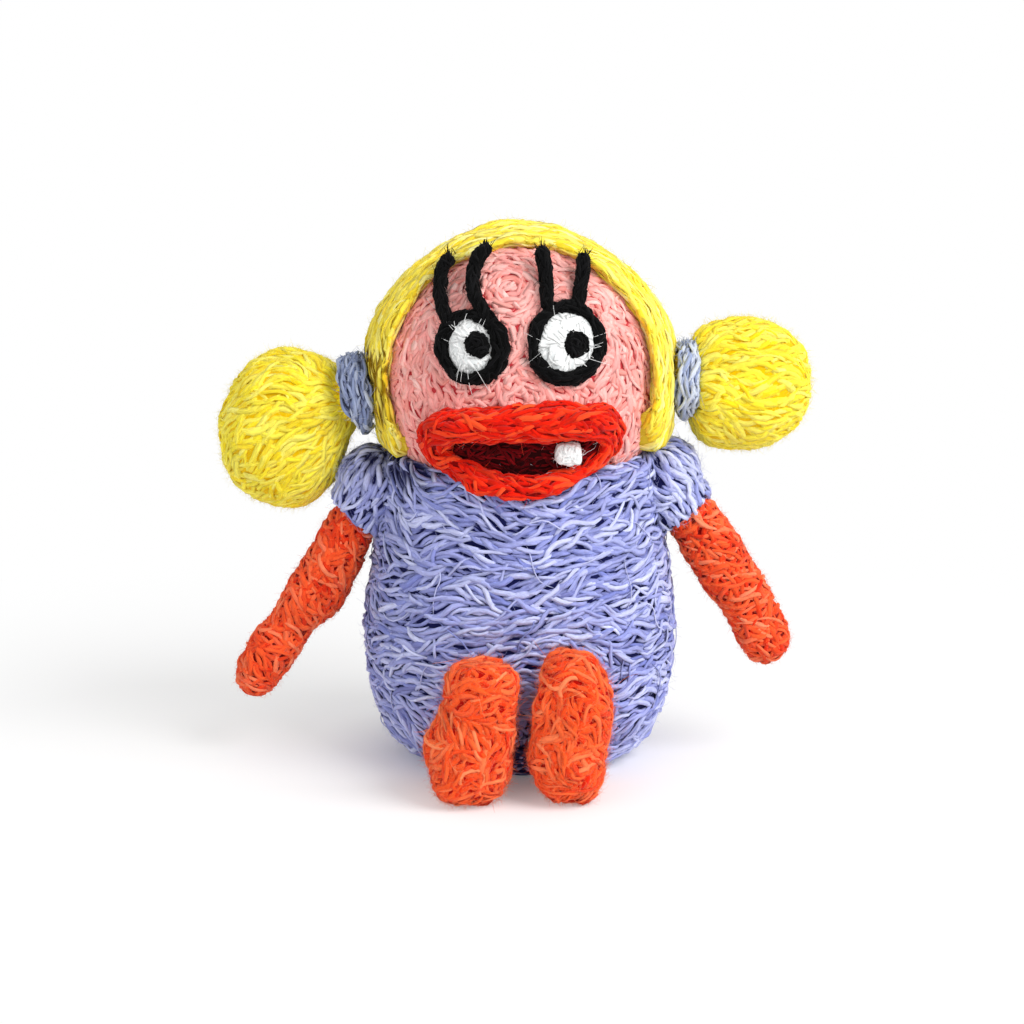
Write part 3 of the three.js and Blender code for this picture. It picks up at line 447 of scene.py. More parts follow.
class Pile:
    """Collects pieces of mesh with their attributes, and makes one object of them."""

    def __init__(self, form=None, depth=0.0):
        self.verts, self.corners, self.sizes, self.yarn, self.uv, self.cell, self.slots = [], [], [], [], [], [], []
        self.count = 0
        if form is not None:
            self.add_form(form, depth)

    def add(self, verts, faces, yarn, uv, cell, slot=0):
        """faces: a list of arrays of the same size each; uv and cell follow their corners."""
        for f in faces:
            self.corners.append((f + self.count).ravel())
            self.sizes.append(np.full(len(f), f.shape[1]))
            self.slots.append(np.full(len(f), slot))
        self.verts.append(verts)
        self.count += len(verts)
        self.yarn.append(yarn)
        self.uv.append(uv)
        self.cell.append(cell)

    def add_form(self, form, depth=0.0):
        """The form itself, under its strands, with a small square of the texture map; depth says how much of the gaps'
        painted shade it takes.
        """
        q = form.quads
        tri = (q[:, 2] == q[:, 3]) | (q[:, 0] == q[:, 1]) | (q[:, 1] == q[:, 2]) | (q[:, 3] == q[:, 0])
        part = np.array([list(dict.fromkeys(f)) for f in q[tri].tolist()]).reshape(-1, 3)
        faces = [f for f in (q[~tri], part) if len(f)]
        low, high = form.v.min(0), form.v.max(0)
        place = (form.v - low) / np.maximum(high - low, 1e-6)
        flat = place[:, [0, 2]][np.concatenate([f.ravel() for f in faces])]
        yarn = np.tile([0.3, 0.0, 0.0, 1.0], (len(form.v), 1))
        yarn[:, 1] = depth
        self.add(form.v, faces, yarn, flat * 30, flat * 0.12)

    def build(self, name, materials, body, slot, nodes=(), fill=None):
        """Makes the object; it rides on a body, and replaces nodes of the CAD model."""
        verts, corners, sizes = (np.concatenate(part) for part in (self.verts, self.corners, self.sizes))
        mesh = bpy.data.meshes.new(name)
        mesh.vertices.add(len(verts))
        mesh.vertices.foreach_set("co", (verts * MM).astype(np.float32).ravel())
        mesh.loops.add(len(corners))
        mesh.loops.foreach_set("vertex_index", corners.astype(np.int32))
        mesh.polygons.add(len(sizes))
        starts = np.concatenate([[0], np.cumsum(sizes)[:-1]])
        mesh.polygons.foreach_set("loop_start", starts.astype(np.int32))
        mesh.polygons.foreach_set("material_index", np.concatenate(self.slots).astype(np.int32))
        mesh.polygons.foreach_set("use_smooth", np.ones(len(sizes), bool))
        mesh.update(calc_edges=True)
        colours = mesh.attributes.new("yarn", "FLOAT_COLOR", "POINT")
        colours.data.foreach_set("color", np.concatenate(self.yarn).astype(np.float32).ravel())
        for title, data in (("OFBake", self.cell), ("Strand", self.uv)):
            layer = mesh.uv_layers.new(name=title)
            layer.data.foreach_set("uv", np.concatenate(data).astype(np.float32).ravel())
        for material in materials:
            mesh.materials.append(material)
        piece = bpy.data.objects.new(name, mesh)
        bpy.context.scene.collection.objects.link(piece)
        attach(piece, body)
        if nodes:
            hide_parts(*nodes)


FORM_SHARE = 0.13  # the strip of the texture map that is left for a pile's form
PAINTED_TOP_LIGHT = 0.38  # how much lighter a strand's top is painted than its middle, and its underside darker: painted light and shade


def tubes(pile, centre, normal, wide, thick, tone, hue, depth, r, sides=5, roll=None, slot=0):
    """Flattened tubes along centre lines (n, stations, 3), the wide way across the normals."""
    n, stations, _ = centre.shape
    along = unit(np.gradient(centre, axis=1))
    across = unit(np.cross(along, normal))
    out = np.cross(across, along)
    if roll is not None:
        c, s = np.cos(roll)[..., None], np.sin(roll)[..., None]
        across, out = across * c + out * s, out * c - across * s
    a = circle(sides) + np.pi / 2
    ring = across[:, :, None] * (np.cos(a)[:, None] * wide[..., None, None]) + out[:, :, None] * (
        np.sin(a)[:, None] * thick[..., None, None])
    pts = centre[:, :, None] + ring
    pts[..., 2] = np.maximum(pts[..., 2], STRAND_FLOOR)
    i, j, k = np.meshgrid(np.arange(n), np.arange(stations - 1), np.arange(sides), indexing="ij")

    def around_quad(at):
        return np.stack([at(j, k), at(j + 1, k), at(j + 1, k + 1), at(j, k + 1)], 3)

    quads = around_quad(lambda jj, kk: (i * stations + jj) * sides + kk % sides).reshape(-1, 4)
    ends = np.arange(n)[:, None] * stations * sides + np.arange(sides)
    caps = np.concatenate([ends, ends[:, ::-1] + (stations - 1) * sides])
    length = np.concatenate([np.zeros((n, 1)), np.cumsum(np.linalg.norm(np.diff(centre, axis=1), axis=-1), 1)], 1)
    u = length + r.uniform(0, 50, n)[:, None]
    uv = around_quad(lambda jj, kk: np.stack([u[i, jj], kk / sides], -1)).reshape(-1, 2)
    # Each strand has a cell of its own in the texture map.
    columns = max(1, math.ceil(math.sqrt(n / 0.86)))
    index, cw, ch = np.arange(n), (1 - FORM_SHARE) / columns, 1 / columns
    corner = np.stack([FORM_SHARE + (index % columns) / columns * (1 - FORM_SHARE), (index // columns) / columns], -1)
    cell = around_quad(lambda jj, kk: np.stack([corner[i, 0] + (0.06 + 0.88 * jj / (stations - 1)) * cw,
                                                corner[i, 1] + (0.06 + 0.88 * kk / sides) * ch], -1)).reshape(-1, 2)
    cap_uv = np.zeros((len(caps) * sides, 2))
    cap_cell = np.repeat(np.concatenate([corner + [0.03 * cw, 0.5 * ch], corner + [0.97 * cw, 0.5 * ch]]), sides, 0)
    yarn = np.zeros((n, stations, sides, 4))
    yarn[..., 0] = tone[:, None, None]
    # Painted light and shade: each tube's top takes less of the gaps' dark colour, its underside more.
    yarn[..., 1] = np.clip(depth[..., None] + PAINTED_TOP_LIGHT * np.sin(a), 0, 1)
    yarn[..., 2] = hue[:, None, None]
    yarn[..., 3] = 1
    pile.add(pts.reshape(-1, 3), [quads, caps], yarn.reshape(-1, 4), np.concatenate([uv, cap_uv]),
             np.concatenate([cell, cap_cell]), slot)


def lay(form, seeds, field, r, length, stations=9, spread=0.25, bend=0.03, wave=0.3):
    """Centre lines and normals of strands that follow a direction field over a form."""
    n = len(seeds)
    p0, n0 = form.snap(seeds)
    long = length * r.uniform(0.65, 1.35, n)
    turn = r.normal(0, spread, n)
    curve = r.normal(0, bend, n)
    swing = wave * r.uniform(0.3, 1.2, n)
    rate = 2 * np.pi / (7.0 * r.uniform(0.7, 1.4, n))
    phase = r.uniform(0, 2 * np.pi, n)
    half = stations // 2
    pts, nrm = np.zeros((n, stations, 3)), np.zeros((n, stations, 3))
    pts[:, half], nrm[:, half] = p0, n0
    step = (long / (stations - 1))[:, None]
    for sign in (1, -1):
        p, normal, last = p0, n0, None
        for k in range(1, half + 1):
            s = sign * long * (k - 0.5) / (stations - 1)
            angle = (turn + curve * s + swing * np.sin(rate * s + phase))[:, None]
            way = turned(unit(flattened(field(p, normal), normal)), normal, angle) * sign
            if last is not None:
                way = np.where(dot(way, last) < 0, -way, way)
                way = unit(way + 0.5 * last)
            p, normal = form.snap(p + way * step)
            pts[:, half + sign * k], nrm[:, half + sign * k] = p, normal
            last = way
    return pts, nrm


def yarn_layer(pile, form, seeds, field, r, length, wide, thick, lift, tone, sink=0.7, stations=9, sides=5, weave=0.18,
               slot=0, shade=0.0, dive=3.0, keep=None, clear=None, dark=None, **how):
    """Lays one layer of strands over a form: they rise from it, run along it and dive back.

    seeds are their middles, or how far apart to scatter these where keep allows it. Strands that leave the room
    that clear allows are left out. lift and tone are ranges; shade and dark paint a strand darker, as painted
    shade; a dark below zero paints it lighter, as painted light.
    """
    if np.isscalar(seeds):
        seeds = form.scatter(r, seeds, keep)
    pts, nrm = lay(form, seeds, field, r, length, stations, **how)
    if clear is not None:
        ok = clear(pts).all(1)
        pts, nrm = pts[ok], nrm[ok]
    n = len(pts)
    t = np.linspace(-1, 1, stations)
    base = r.uniform(*lift, n)
    rate, phase = r.uniform(2, 5, n), r.uniform(0, 6.3, n)
    ripple = weave * np.sin(rate[:, None] * t * 1.5 + phase[:, None])
    height = base[:, None] + ripple - (sink + base)[:, None] * np.abs(t) ** dive
    taper = (1 - 0.8 * np.abs(t) ** 3.5) * np.ones((n, 1))
    size = r.uniform(0.75, 1.25, n)[:, None]
    flat = r.uniform(0.85, 1.15, n)[:, None]
    roll = r.normal(0, 0.3, n)[:, None] + r.normal(0, 0.35, n)[:, None] * t
    top = max(lift[1], 0.05) + weave
    # Painted shade: the low parts of a strand, where it dives under others, take the gaps' dark colour, and lower
    # layers do too through shade.
    depth = np.clip(0.5 + 0.5 * (height - lift[0]) / top, 0, 1) - shade
    if dark is not None:
        depth = depth - dark(pts)
    tones = np.clip(r.beta(2.2, 2.2, n) * (tone[1] - tone[0]) + tone[0], 0, 1)
    tubes(pile, pts + nrm * height[..., None], nrm, wide * taper * size * flat, thick * taper * size / flat, tones,
          r.random(n), depth, r, sides, roll, slot)


def fuzz_layer(pile, form, r, count, length, radius, rise=0.5, curl=0.5, keep=None, start=0.2, stations=6,
               tone=(0.4, 1.0)):
    """Fine loose fibres that leave the form and curl."""
    seeds = form.scatter(r, math.sqrt(form.area.sum() / count) * 0.62, keep, 3)
    r.shuffle(seeds)
    p, normal = form.snap(seeds[:count])
    n = len(p)
    way = unit(flattened(r.normal(size=(n, 3)), normal))
    way = unit(way + normal * (rise * r.uniform(0.3, 1.6, (n, 1))))
    long = length * r.uniform(0.4, 1.5, (n, 1))
    pts = np.zeros((n, stations, 3))
    p = p + normal * start
    bend = r.normal(size=(n, 3)) * curl - normal * rise * 0.7
    for k in range(stations):
        pts[:, k] = p
        p = p + way * long / (stations - 1)
        way = unit(way + bend / (stations - 1) + r.normal(size=(n, 3)) * 0.12)
    side = unit(np.cross(way, normal) + 1e-3)
    t = np.linspace(0, 1, stations)
    size = radius * r.uniform(0.7, 1.4, (n, 1)) * (1 - 0.6 * t**2)
    tubes(pile, pts, np.broadcast_to(side[:, None], pts.shape), size, size, r.uniform(*tone, n), r.random(n),
          np.ones((n, stations)), r, 3)


def fibres(pile, pts, size, r):
    """Fine round fibres along lines."""
    n = len(pts)
    tubes(pile, pts, np.broadcast_to([0, -1.0, 0.05], pts.shape), size, size, r.random(n), r.random(n),
          np.ones(size.shape), r, 4)


def loose_ends(pile, start, way, long, radius, tip, r):
    """Straight fibres that get thinner; radius is (middle size, least share) and tip the last share."""
    share = np.linspace(0, 1, 5)
    size = radius[0] * r.uniform(radius[1], 1.4, (len(start), 1)) * np.linspace(1, tip, 5)
    fibres(pile, start[:, None] + way[:, None] * (long * share)[..., None], size, r)


# ---------------- direction fields


def toward(*way):
    return lambda p, normal: np.array(way)


def around_line(axis, middle):
    """Round a line through the middle."""
    return lambda p, normal: np.cross(axis, p - middle)


def away_from(middle):
    return lambda p, normal: unit(p - middle + 1e-6)


def around(p, normal):
    """Level, round the doll."""
    return np.cross([0.0, 0, 1], normal)


def wander(field, waves, amount):
    """A field whose direction wanders by some noise."""
    return lambda p, normal: turned(unit(flattened(field(p, normal), normal)), normal, amount * waves(p)[:, None])


# ---------------- materials


def colour(r, g, b):
    """A colour given as seen, 0 to 255, made linear."""
    c = np.array([r, g, b]) / 255
    return (*np.where(c <= 0.04045, c / 12.92, ((c + 0.055) / 1.055) ** 2.4), 1.0)


def node(tree, kind, inputs=(), **settings):
    """Makes a shader node; each input is a value, or the socket that feeds it."""
    made = tree.nodes.new("ShaderNode" + kind)
    for key, value in settings.items():
        setattr(made, key, value)
    for socket, value in dict(inputs).items():
        if isinstance(value, bpy.types.NodeSocket):
            tree.links.new(value, made.inputs[socket])
        else:
            made.inputs[socket].default_value = value
    return made


def empty_tree(owner):
    owner.use_nodes = True
    owner.node_tree.nodes.clear()
    return owner.node_tree


def ramp(tree, factor, stops, interpolation="LINEAR"):
    """A colour ramp with its stops as (position, colour)."""
    made = node(tree, "ValToRGB", {0: factor})
    made.color_ramp.interpolation = interpolation
    elements = made.color_ramp.elements
    while len(elements) < len(stops):
        elements.new(0.5)
    for element, (position, shade) in zip(elements, stops):
        element.position, element.color = position, shade
    return made.outputs[0]


def yarn_material(name, gap, low, mid, high, accent, sheen=0.08, ridge=0.5, fine=1.0, reach=0.6):
    """Yarn: a tone for each strand, fibres along it, and a darker colour down in the gaps, which is painted shade.

    The colours are the gaps', the darkest, middle and lightest strands', and that of some odd strands. reach says
    how high up a strand the gap's colour fades out.
    """
    m = bpy.data.materials.new(name)
    t = empty_tree(m)
    yarn = node(t, "Attribute", attribute_name="yarn")
    tone, depth, hue = node(t, "SeparateColor", {0: yarn.outputs["Color"]}).outputs
    tones = ramp(t, tone, [(0, colour(*low)), (0.5, colour(*mid)), (1, colour(*high))])
    odd = node(t, "MapRange", {"Value": hue, "From Min": 0.72, "To Max": 0.8})
    base = node(t, "Mix", {"Factor": odd.outputs[0], "A": tones, "B": colour(*accent)}, data_type="RGBA")
    # Fibres along each strand, and broad patches
    place = node(t, "UVMap", uv_map="Strand")
    stretch = node(t, "Mapping", {"Vector": place.outputs[0], "Scale": (0.35 * fine, 5.0 * fine, 1)})
    fibre = node(t, "TexNoise", {"Vector": stretch.outputs[0], "Scale": 1.6, "Detail": 4, "Roughness": 0.65})
    where = node(t, "TexCoord")
    mottle = node(t, "TexNoise", {"Vector": where.outputs["Object"], "Scale": 160, "Detail": 3})
    streak, patch = (node(t, "MapRange", {"Value": noise.outputs[0], "From Min": 0.3, "From Max": 0.7,
                                          "To Min": least, "To Max": most})
                     for noise, least, most in ((fibre, 0.7, 1.15), (mottle, 0.9, 1.08)))
    both = node(t, "Math", {0: streak.outputs[0], 1: patch.outputs[0]}, operation="MULTIPLY")
    lit = node(t, "VectorMath", {0: base.outputs["Result"], "Scale": both.outputs[0]}, operation="SCALE")
    # Painted shade: a low depth mixes in the gaps' darker colour.
    deep = node(t, "MapRange", {"Value": depth, "From Min": 0.05, "From Max": reach}, interpolation_type="SMOOTHSTEP")
    final = node(t, "Mix", {"Factor": deep.outputs[0], "A": colour(*gap), "B": lit.outputs[0]}, data_type="RGBA")
    bump = node(t, "Bump", {"Strength": ridge, "Distance": 0.00012, "Height": fibre.outputs[0]})
    shader = node(t, "BsdfPrincipled", {
        "Base Color": final.outputs["Result"], "Normal": bump.outputs[0], "Roughness": 0.9, "Sheen Weight": sheen,
        "Sheen Roughness": 0.5, "Specular IOR Level": 0.08})
    node(t, "OutputMaterial", {0: shader.outputs[0]})
    return m


BLUE = yarn_material("yarn_blue", (17, 20, 70), (116, 121, 182), (160, 166, 222), (214, 219, 252), (122, 132, 204),
                     reach=0.8, ridge=0.8, fine=1.4)
PINK = yarn_material("yarn_pink", (184, 54, 60), (248, 146, 142), (255, 180, 173), (255, 214, 206), (238, 138, 126))
YELLOW = yarn_material("yarn_yellow", (230, 186, 0), (252, 222, 16), (255, 236, 60), (255, 247, 130), (248, 212, 0))
ORANGE = yarn_material("yarn_orange", (118, 0, 0), (228, 40, 8), (255, 98, 48), (255, 158, 118), (218, 30, 6),
                       reach=0.8, ridge=0.7, fine=1.3)
# The hair's gaps are darker so that the painted shadow beside the doll's right tie can reach deep.
HAIR = yarn_material("yarn_hair", (146, 112, 4), (247, 214, 16), (255, 235, 80), (255, 249, 165), (244, 204, 0),
                     reach=0.5)
FOOT = yarn_material("yarn_foot", (172, 8, 0), (236, 50, 8), (255, 98, 42), (255, 154, 104), (230, 34, 4),
                     reach=0.7, ridge=0.6, fine=1.2)
RED = yarn_material("yarn_red", (124, 0, 0), (208, 10, 0), (236, 34, 6), (254, 90, 42), (184, 4, 0))
MAROON = yarn_material("felt_maroon", (38, 0, 2), (80, 0, 4), (104, 0, 8), (146, 20, 24), (66, 0, 3), sheen=0.02)
GREY = yarn_material("yarn_grey", (52, 58, 80), (118, 128, 166), (152, 164, 198), (204, 212, 230), (130, 146, 190),
                     reach=0.75)
BLACK = yarn_material("felt_black", (2, 2, 2), (5, 5, 6), (9, 9, 10), (26, 26, 28), (6, 6, 7), sheen=0.03)
WHITE = yarn_material("felt_white", (226, 229, 229), (240, 241, 240), (248, 249, 248), (255, 255, 254),
                      (243, 244, 244), ridge=0.25)
PALE = yarn_material("fibre_pale", (200, 200, 205), (222, 222, 226), (236, 236, 238), (250, 250, 250),
                     (230, 228, 232))


def wire_material():
    m = bpy.data.materials.new("wire")
    m.use_nodes = True
    t = m.node_tree
    shader = t.nodes["Principled BSDF"]
    shader.inputs["Metallic"].default_value = 1.0
    noise = node(t, "TexNoise", {"Scale": 900})
    rough = node(t, "MapRange", {"Value": noise.outputs[0], "To Min": 0.25, "To Max": 0.5})
    shades = ramp(t, noise.outputs[0], [(0, (0.42, 0.42, 0.43, 1)), (1, (0.62, 0.62, 0.63, 1))])
    t.links.new(shades, shader.inputs["Base Color"])
    t.links.new(rough.outputs[0], shader.inputs["Roughness"])
    return m


WIRE = wire_material()
for name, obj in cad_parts.items():
    if "wire" in name:
        obj.data.materials.clear()
        obj.data.materials.append(WIRE)

# ---------------- face places


def face_depth(x, up):
    """Y of the head's front at a place, or of the dress's front below the neckline."""
    low, high = np.maximum(-CHEEKS - up, 0) / CHIN, np.maximum(up, 0) / CROWN
    head = -HEAD_DEEP * np.sqrt(np.maximum(1 - low**2 - high**2 - (x / HEAD_WIDE) ** 2, 0.02))
    dress = -CHEST_DEEP * np.sqrt(np.maximum(1 - (x / CHEST) ** 2, 0.02)) - 0.2
    over = 1 - smoothstep(-18.5, -13.5, up)
    return head + np.minimum(dress - head, 0) * over


def on_face(x, up, lift, forward=0.0):
    """A place above the face along its normal, or straight ahead as far as forward says."""
    x, up, lift = np.broadcast_arrays(*(np.asarray(a, float) for a in (x, up, lift)))
    step = 0.05
    slope_x = (face_depth(x + step, up) - face_depth(x - step, up)) / (2 * step)
    slope_z = (face_depth(x, up + step) - face_depth(x, up - step)) / (2 * step)
    normal = unit(np.stack([slope_x, -np.ones_like(x), slope_z], -1))
    normal = unit(normal * (1 - forward) + np.array([0, -1.0, 0]) * forward)
    return np.stack([x, face_depth(x, up), HEAD_Z + up], -1) + normal * lift[..., None]


def contour(points, centre, count, scale):
    """A closed outline resampled at even angles round a centre."""
    line = smooth_line(points, 720, closed=True) - centre
    angle = np.arctan2(line[:, 1] / scale[1], line[:, 0] / scale[0])
    order = np.argsort(angle)
    angle, line = angle[order], line[order]
    wanted = np.linspace(-np.pi, np.pi, count, endpoint=False)
    return np.stack([np.interp(wanted, angle, line[:, i], period=2 * np.pi) for i in (0, 1)], -1) + centre


def oval(centre, half, count, uneven=0.0, seed=0):
    a = np.linspace(0, 2 * np.pi, count, endpoint=False)
    r = np.random.default_rng(seed)
    wobble = sum(r.normal(0, 1) * np.cos(k * a + r.uniform(0, 6.3)) for k in (2, 3, 5)) * uneven
    return np.stack([centre[0] + (half[0] + wobble) * np.cos(a), centre[1] + (half[1] + wobble) * np.sin(a)], -1)


def band(inner, outer, height, base, sides, under, forward=0.0):
    """A soft roll on the face between two outlines with as many points each."""
    phi = circle(sides)
    mid, half = (inner + outer) / 2, (outer - inner) / 2
    flat = mid[:, None] + half[:, None] * np.cos(phi)[:, None]
    height = np.broadcast_to(height, (len(inner),))
    lift = base + np.where(np.sin(phi) > 0, height[:, None] * np.sin(phi), under * np.sin(phi))
    return rings(on_face(flat[..., 0], flat[..., 1], lift, forward), closed=True)


def dome(outline, centre, rim, crown, power=2.5, rows=14, under=0.4):
    """A soft pad on the face inside an outline."""
    out = [(0, rim - under), (0.97, rim - under), (1, rim)]
    for share in np.linspace(1, 0, rows)[1:]:
        out.append((share, rim + (crown - rim) * (1 - share**power)))
    flat = np.array([[np.asarray(centre) + (p - centre) * share for p in outline] for share, _ in out])
    lift = np.array([[height] * len(outline) for _, height in out])
    return rings(on_face(flat[..., 0], flat[..., 1], lift))


def round_a(centre, lean=0.0):
    """A field that circles a place on the face, and leans away from it."""
    middle = on_face(centre[0], centre[1], 0)
    return lambda p, normal: unit(np.cross(normal, p - middle) + 1e-6) + unit(p - middle + 1e-6) * lean


# ---------------- dress

broad, small = Waves(51, 22), Waves(52, 8)


def dress_field(p, normal):
    """Level rows that wander, and slope at the shoulders and the hem."""
    front_side, out = np.where(p[:, 1] < 0, 1, -1), np.clip(p[:, 0] / 22, -1.2, 1.2)
    yoke = smoothstep(38, 56, p[:, 2]) * out * 0.6 * front_side
    hem = (1 - smoothstep(2, 22, p[:, 2])) * out * 0.5 * front_side
    rows = 0.22 * np.sin(2 * np.pi * p[:, 2] / 7.5 + 2.5 * broad(p))
    angle = (yoke + hem + rows + 0.2 * broad(p) + 0.36 * small(p))[:, None]
    return turned(unit(around(p, normal) + 1e-6), normal, angle)


def off_legs(p, margin=-1.0):
    """Whether places are outside the room of both legs."""
    ok = np.ones(p.shape[:-1], bool)
    for s in SIDES.values():
        ok &= ~((leg_distance(p, s) < POCKET + margin) & (p[..., 1] < -5))
    return ok


def clear_of_legs(p):
    """Where the dress's strands begin: not in the legs' room, under the head or under the middle of the sole."""
    under_head = (p[:, 2] > 55.5 + p[:, 1] * NECK_SLOPE) & (np.hypot(p[:, 0] / CHEST, p[:, 1] / 22.7) < 0.89)
    return off_legs(p, 0.1) & ~under_head & ((p[:, 2] > 1.2) | (np.hypot(p[:, 0], p[:, 1]) > 13))


def painted_shade(p):
    """Painted shade: how much darker the yarn is painted under the hair's right end and between the feet, where shadow
    falls.
    """
    near = np.hypot((p[..., 0] + 23) / 12, (p[..., 2] - 57) / 8)
    between = np.hypot(p[..., 0] / 6, (p[..., 2] - 4) / 11)
    return (0.62 * (1 - smoothstep(0.3, 1.1, near)) + 0.7 * (1 - smoothstep(0.3, 1.1, between))) * (p[..., 1] < 5)


def round_leg(p, normal):
    """Round the nearer leg."""
    return np.cross([0, 1.0, 0], p - np.where(p[:, :1] > 0, hip_place(1), hip_place(-1)))


def in_pocket(p):
    return ~off_legs(p, 3.0) & (p[:, 1] < -12) & (p[:, 2] > 0.4)


def felt_depth_and_shade(p):
    """The bare felt takes less of the gaps' painted shade round a leg, where the leg's motion can show it, so it is as
    light as the yarn there; it also takes the painted shade under the hair and between the feet.
    """
    near = np.minimum(*(leg_distance(p, s) for s in SIDES.values()))
    return np.clip(0.5 * (1 - smoothstep(POCKET + 1.5, POCKET + 3, near)) * (p[:, 1] < -8) - painted_shade(p), 0, 1)


r = np.random.default_rng(101)
form = dress_form()
felt, front, back = Pile(form, felt_depth_and_shade(form.v)), Pile(), Pile()
yarn_layer(felt, form, 1.05, wander(round_leg, Waves(103, 6), 0.4), r, 5, 0.44, 0.26, lift=(-0.2, 0.0),
           tone=(0.15, 0.8), sink=0.3, keep=in_pocket, clear=lambda p: off_legs(p, -0.9), dark=painted_shade)
r = np.random.default_rng(102)
yarn_layer(felt, form, 1.55, dress_field, r, 9, 0.5, 0.34, lift=(-0.3, -0.05), tone=(0, 0.4), spread=0.2, shade=0.45,
           sides=4, keep=clear_of_legs, clear=off_legs, dark=painted_shade)
middle_seeds, top_seeds, cross_seeds, loose_seeds = (
    form.scatter(r, spacing, clear_of_legs) for spacing in (1.7, 2.0, 4.2, 9.0))
for half, sign in ((front, -1), (back, 1)):
    here = lambda seeds: seeds[seeds[:, 1] * sign > 0]
    yarn_layer(half, form, here(middle_seeds), dress_field, r, 9.5, 0.46, 0.31, lift=(-0.05, 0.3), tone=(0.05, 0.75),
               spread=0.15, shade=0.1, sides=4 if sign > 0 else 5, clear=off_legs, dive=2.4, dark=painted_shade)
    yarn_layer(half, form, here(top_seeds), dress_field, r, 10.5, 0.46, 0.31, lift=(0.25, 0.6), tone=(0.35, 1),
               spread=0.18, wave=0.45, clear=off_legs, dive=2.4, stations=11, dark=painted_shade)
    yarn_layer(half, form, here(cross_seeds), dress_field, r, 8, 0.34, 0.27, lift=(0.5, 0.75), tone=(0.4, 0.9),
               spread=0.6, wave=0.5, clear=off_legs, dive=2.4)
    yarn_layer(half, form, here(loose_seeds), dress_field, r, 11, 0.12, 0.1, lift=(0.7, 1.0), tone=(0.6, 0.95),
               spread=1.0, wave=0.5, stations=13, clear=off_legs)
    fuzz_layer(half, form, r, 1400, 2.0, 0.02, keep=lambda p: clear_of_legs(p) & (p[:, 1] * sign > 0), start=0.5,
               curl=1.3, stations=4)
felt.build("dress_felt", [BLUE], "torso", "dress", ["dress", "torso_stuffing"], 0.9)
front.build("dress_front", [BLUE], "torso", "dress")
back.build("dress_back", [BLUE], "torso", "dress")

# ---------------- sleeves

for side, s in SIDES.items():
    r = np.random.default_rng(110 + s)
    form, sleeve, down = sleeve_form(side), SLEEVES[side], arm_way(side)
    field = wander(lambda p, normal: down + 0.25 * around(p, normal), Waves(111 + s, 7), 0.3)
    open_end = hang(side, [0, 0, sleeve["low"] + 0.3])
    # Painted light: the sleeve on the doll's left, the side the key lamp lights, gets paler tones.
    pale = 0.26 if s > 0 else 0.12

    def outside(p):
        """Not in the hem's opening, where the arm comes out."""
        flat = p - open_end
        along = flat @ down
        off = flat - along[:, None] * down
        higher = sleeve["skew"] * s * off[:, 0] / sleeve["hem"]
        return (along + higher < 0.1) | (np.linalg.norm(off, axis=1) > 4.8)

    # The upper strands stay off the side that lies against the head.
    beside_head = lambda p: (p[..., 0] * s > sleeve["inner"] + 0.1) | (p[..., 2] < 53)
    # Painted shade: the sleeves take a weaker share of the painted shadow under the hair's right end.
    shadow = lambda p: 0.6 * painted_shade(p)
    pile = Pile(form)
    yarn_layer(pile, form, 1.3, field, r, 6, 0.5, 0.34, lift=(-0.15, 0.1), tone=(0.1 + pale, 0.7 + pale), shade=0.2,
               keep=outside, dark=shadow)
    yarn_layer(pile, form, 1.6, field, r, 7.5, 0.47, 0.33, lift=(0.1, 0.5), tone=(0.35 + pale, 0.85 + pale), wave=0.4,
               dive=2.4, keep=outside, dark=shadow, clear=beside_head)
    fuzz_layer(pile, form, r, 900, 1.8, 0.018, 0.6, start=0.4, curl=1.3, stations=4)
    pile.build(f"sleeve_{side}_felt", [BLUE], f"arm_{side}", "dress", [f"sleeve_{side}"], 0.8)

# ---------------- hair

r = np.random.default_rng(120)
form = hair_form()
hair_field = wander(around_line([0, 1.0, -0.12], np.array([0, 4.0, 69.0])), Waves(121, 9), 0.22)


def hair_seen(p):
    """Outside the face opening, above the neckline and beside the seats of the ties."""
    ok = (arch_distance(p) > -0.55) & (p[:, 2] > hair_edge(p) - 1.2)
    for side in SIDES:
        pivot, outwards = tie_place(side)
        way = p - pivot
        along = way @ outwards
        ok &= ~((np.linalg.norm(way - along[:, None] * outwards, axis=1) < 6.2) & (along > -9))
    return ok


def hair_painted_light_and_shade(p):
    """Painted shadow and light on the cap: darker in front of the doll's right tie, where shadow falls, and painted
    lighter and smoother on its other side, the lit side.
    """
    side, up = (1 - smoothstep(-25, -17, p[..., 0])) * (1 - smoothstep(-3, 4, p[..., 1])), p[..., 2] - HEAD_Z
    # Painted light on the lit side: a negative amount takes away the gaps' shade.
    smooth = 0.55 * smoothstep(2, 16, p[..., 0])
    return 1.25 * side * smoothstep(-15, -6, up) * (1 - smoothstep(2, 12, up)) - smooth


felt, strands = Pile(form, 0.3), Pile()
yarn_layer(felt, form, 1.5, hair_field, r, 8, 0.66, 0.24, lift=(-0.12, 0.08), tone=(0.15, 0.75), shade=-0.5,
           keep=hair_seen, dark=hair_painted_light_and_shade)
yarn_layer(strands, form, 1.8, hair_field, r, 10, 0.6, 0.2, lift=(0.02, 0.24), tone=(0.35, 1), stations=11, wave=0.35,
           spread=0.18, sink=0.5, dive=2.4, weave=0.12, shade=-0.55, keep=hair_seen, dark=hair_painted_light_and_shade)
fuzz_layer(strands, form, r, 3000, 1.8, 0.018, keep=hair_seen, start=0.3, curl=1.2, stations=4)
felt.build("hair_felt", [HAIR], "torso", "hair", ["hair_cap"], 0.8)
strands.build("hair_strands", [HAIR], "torso", "hair")

# ---------------- head

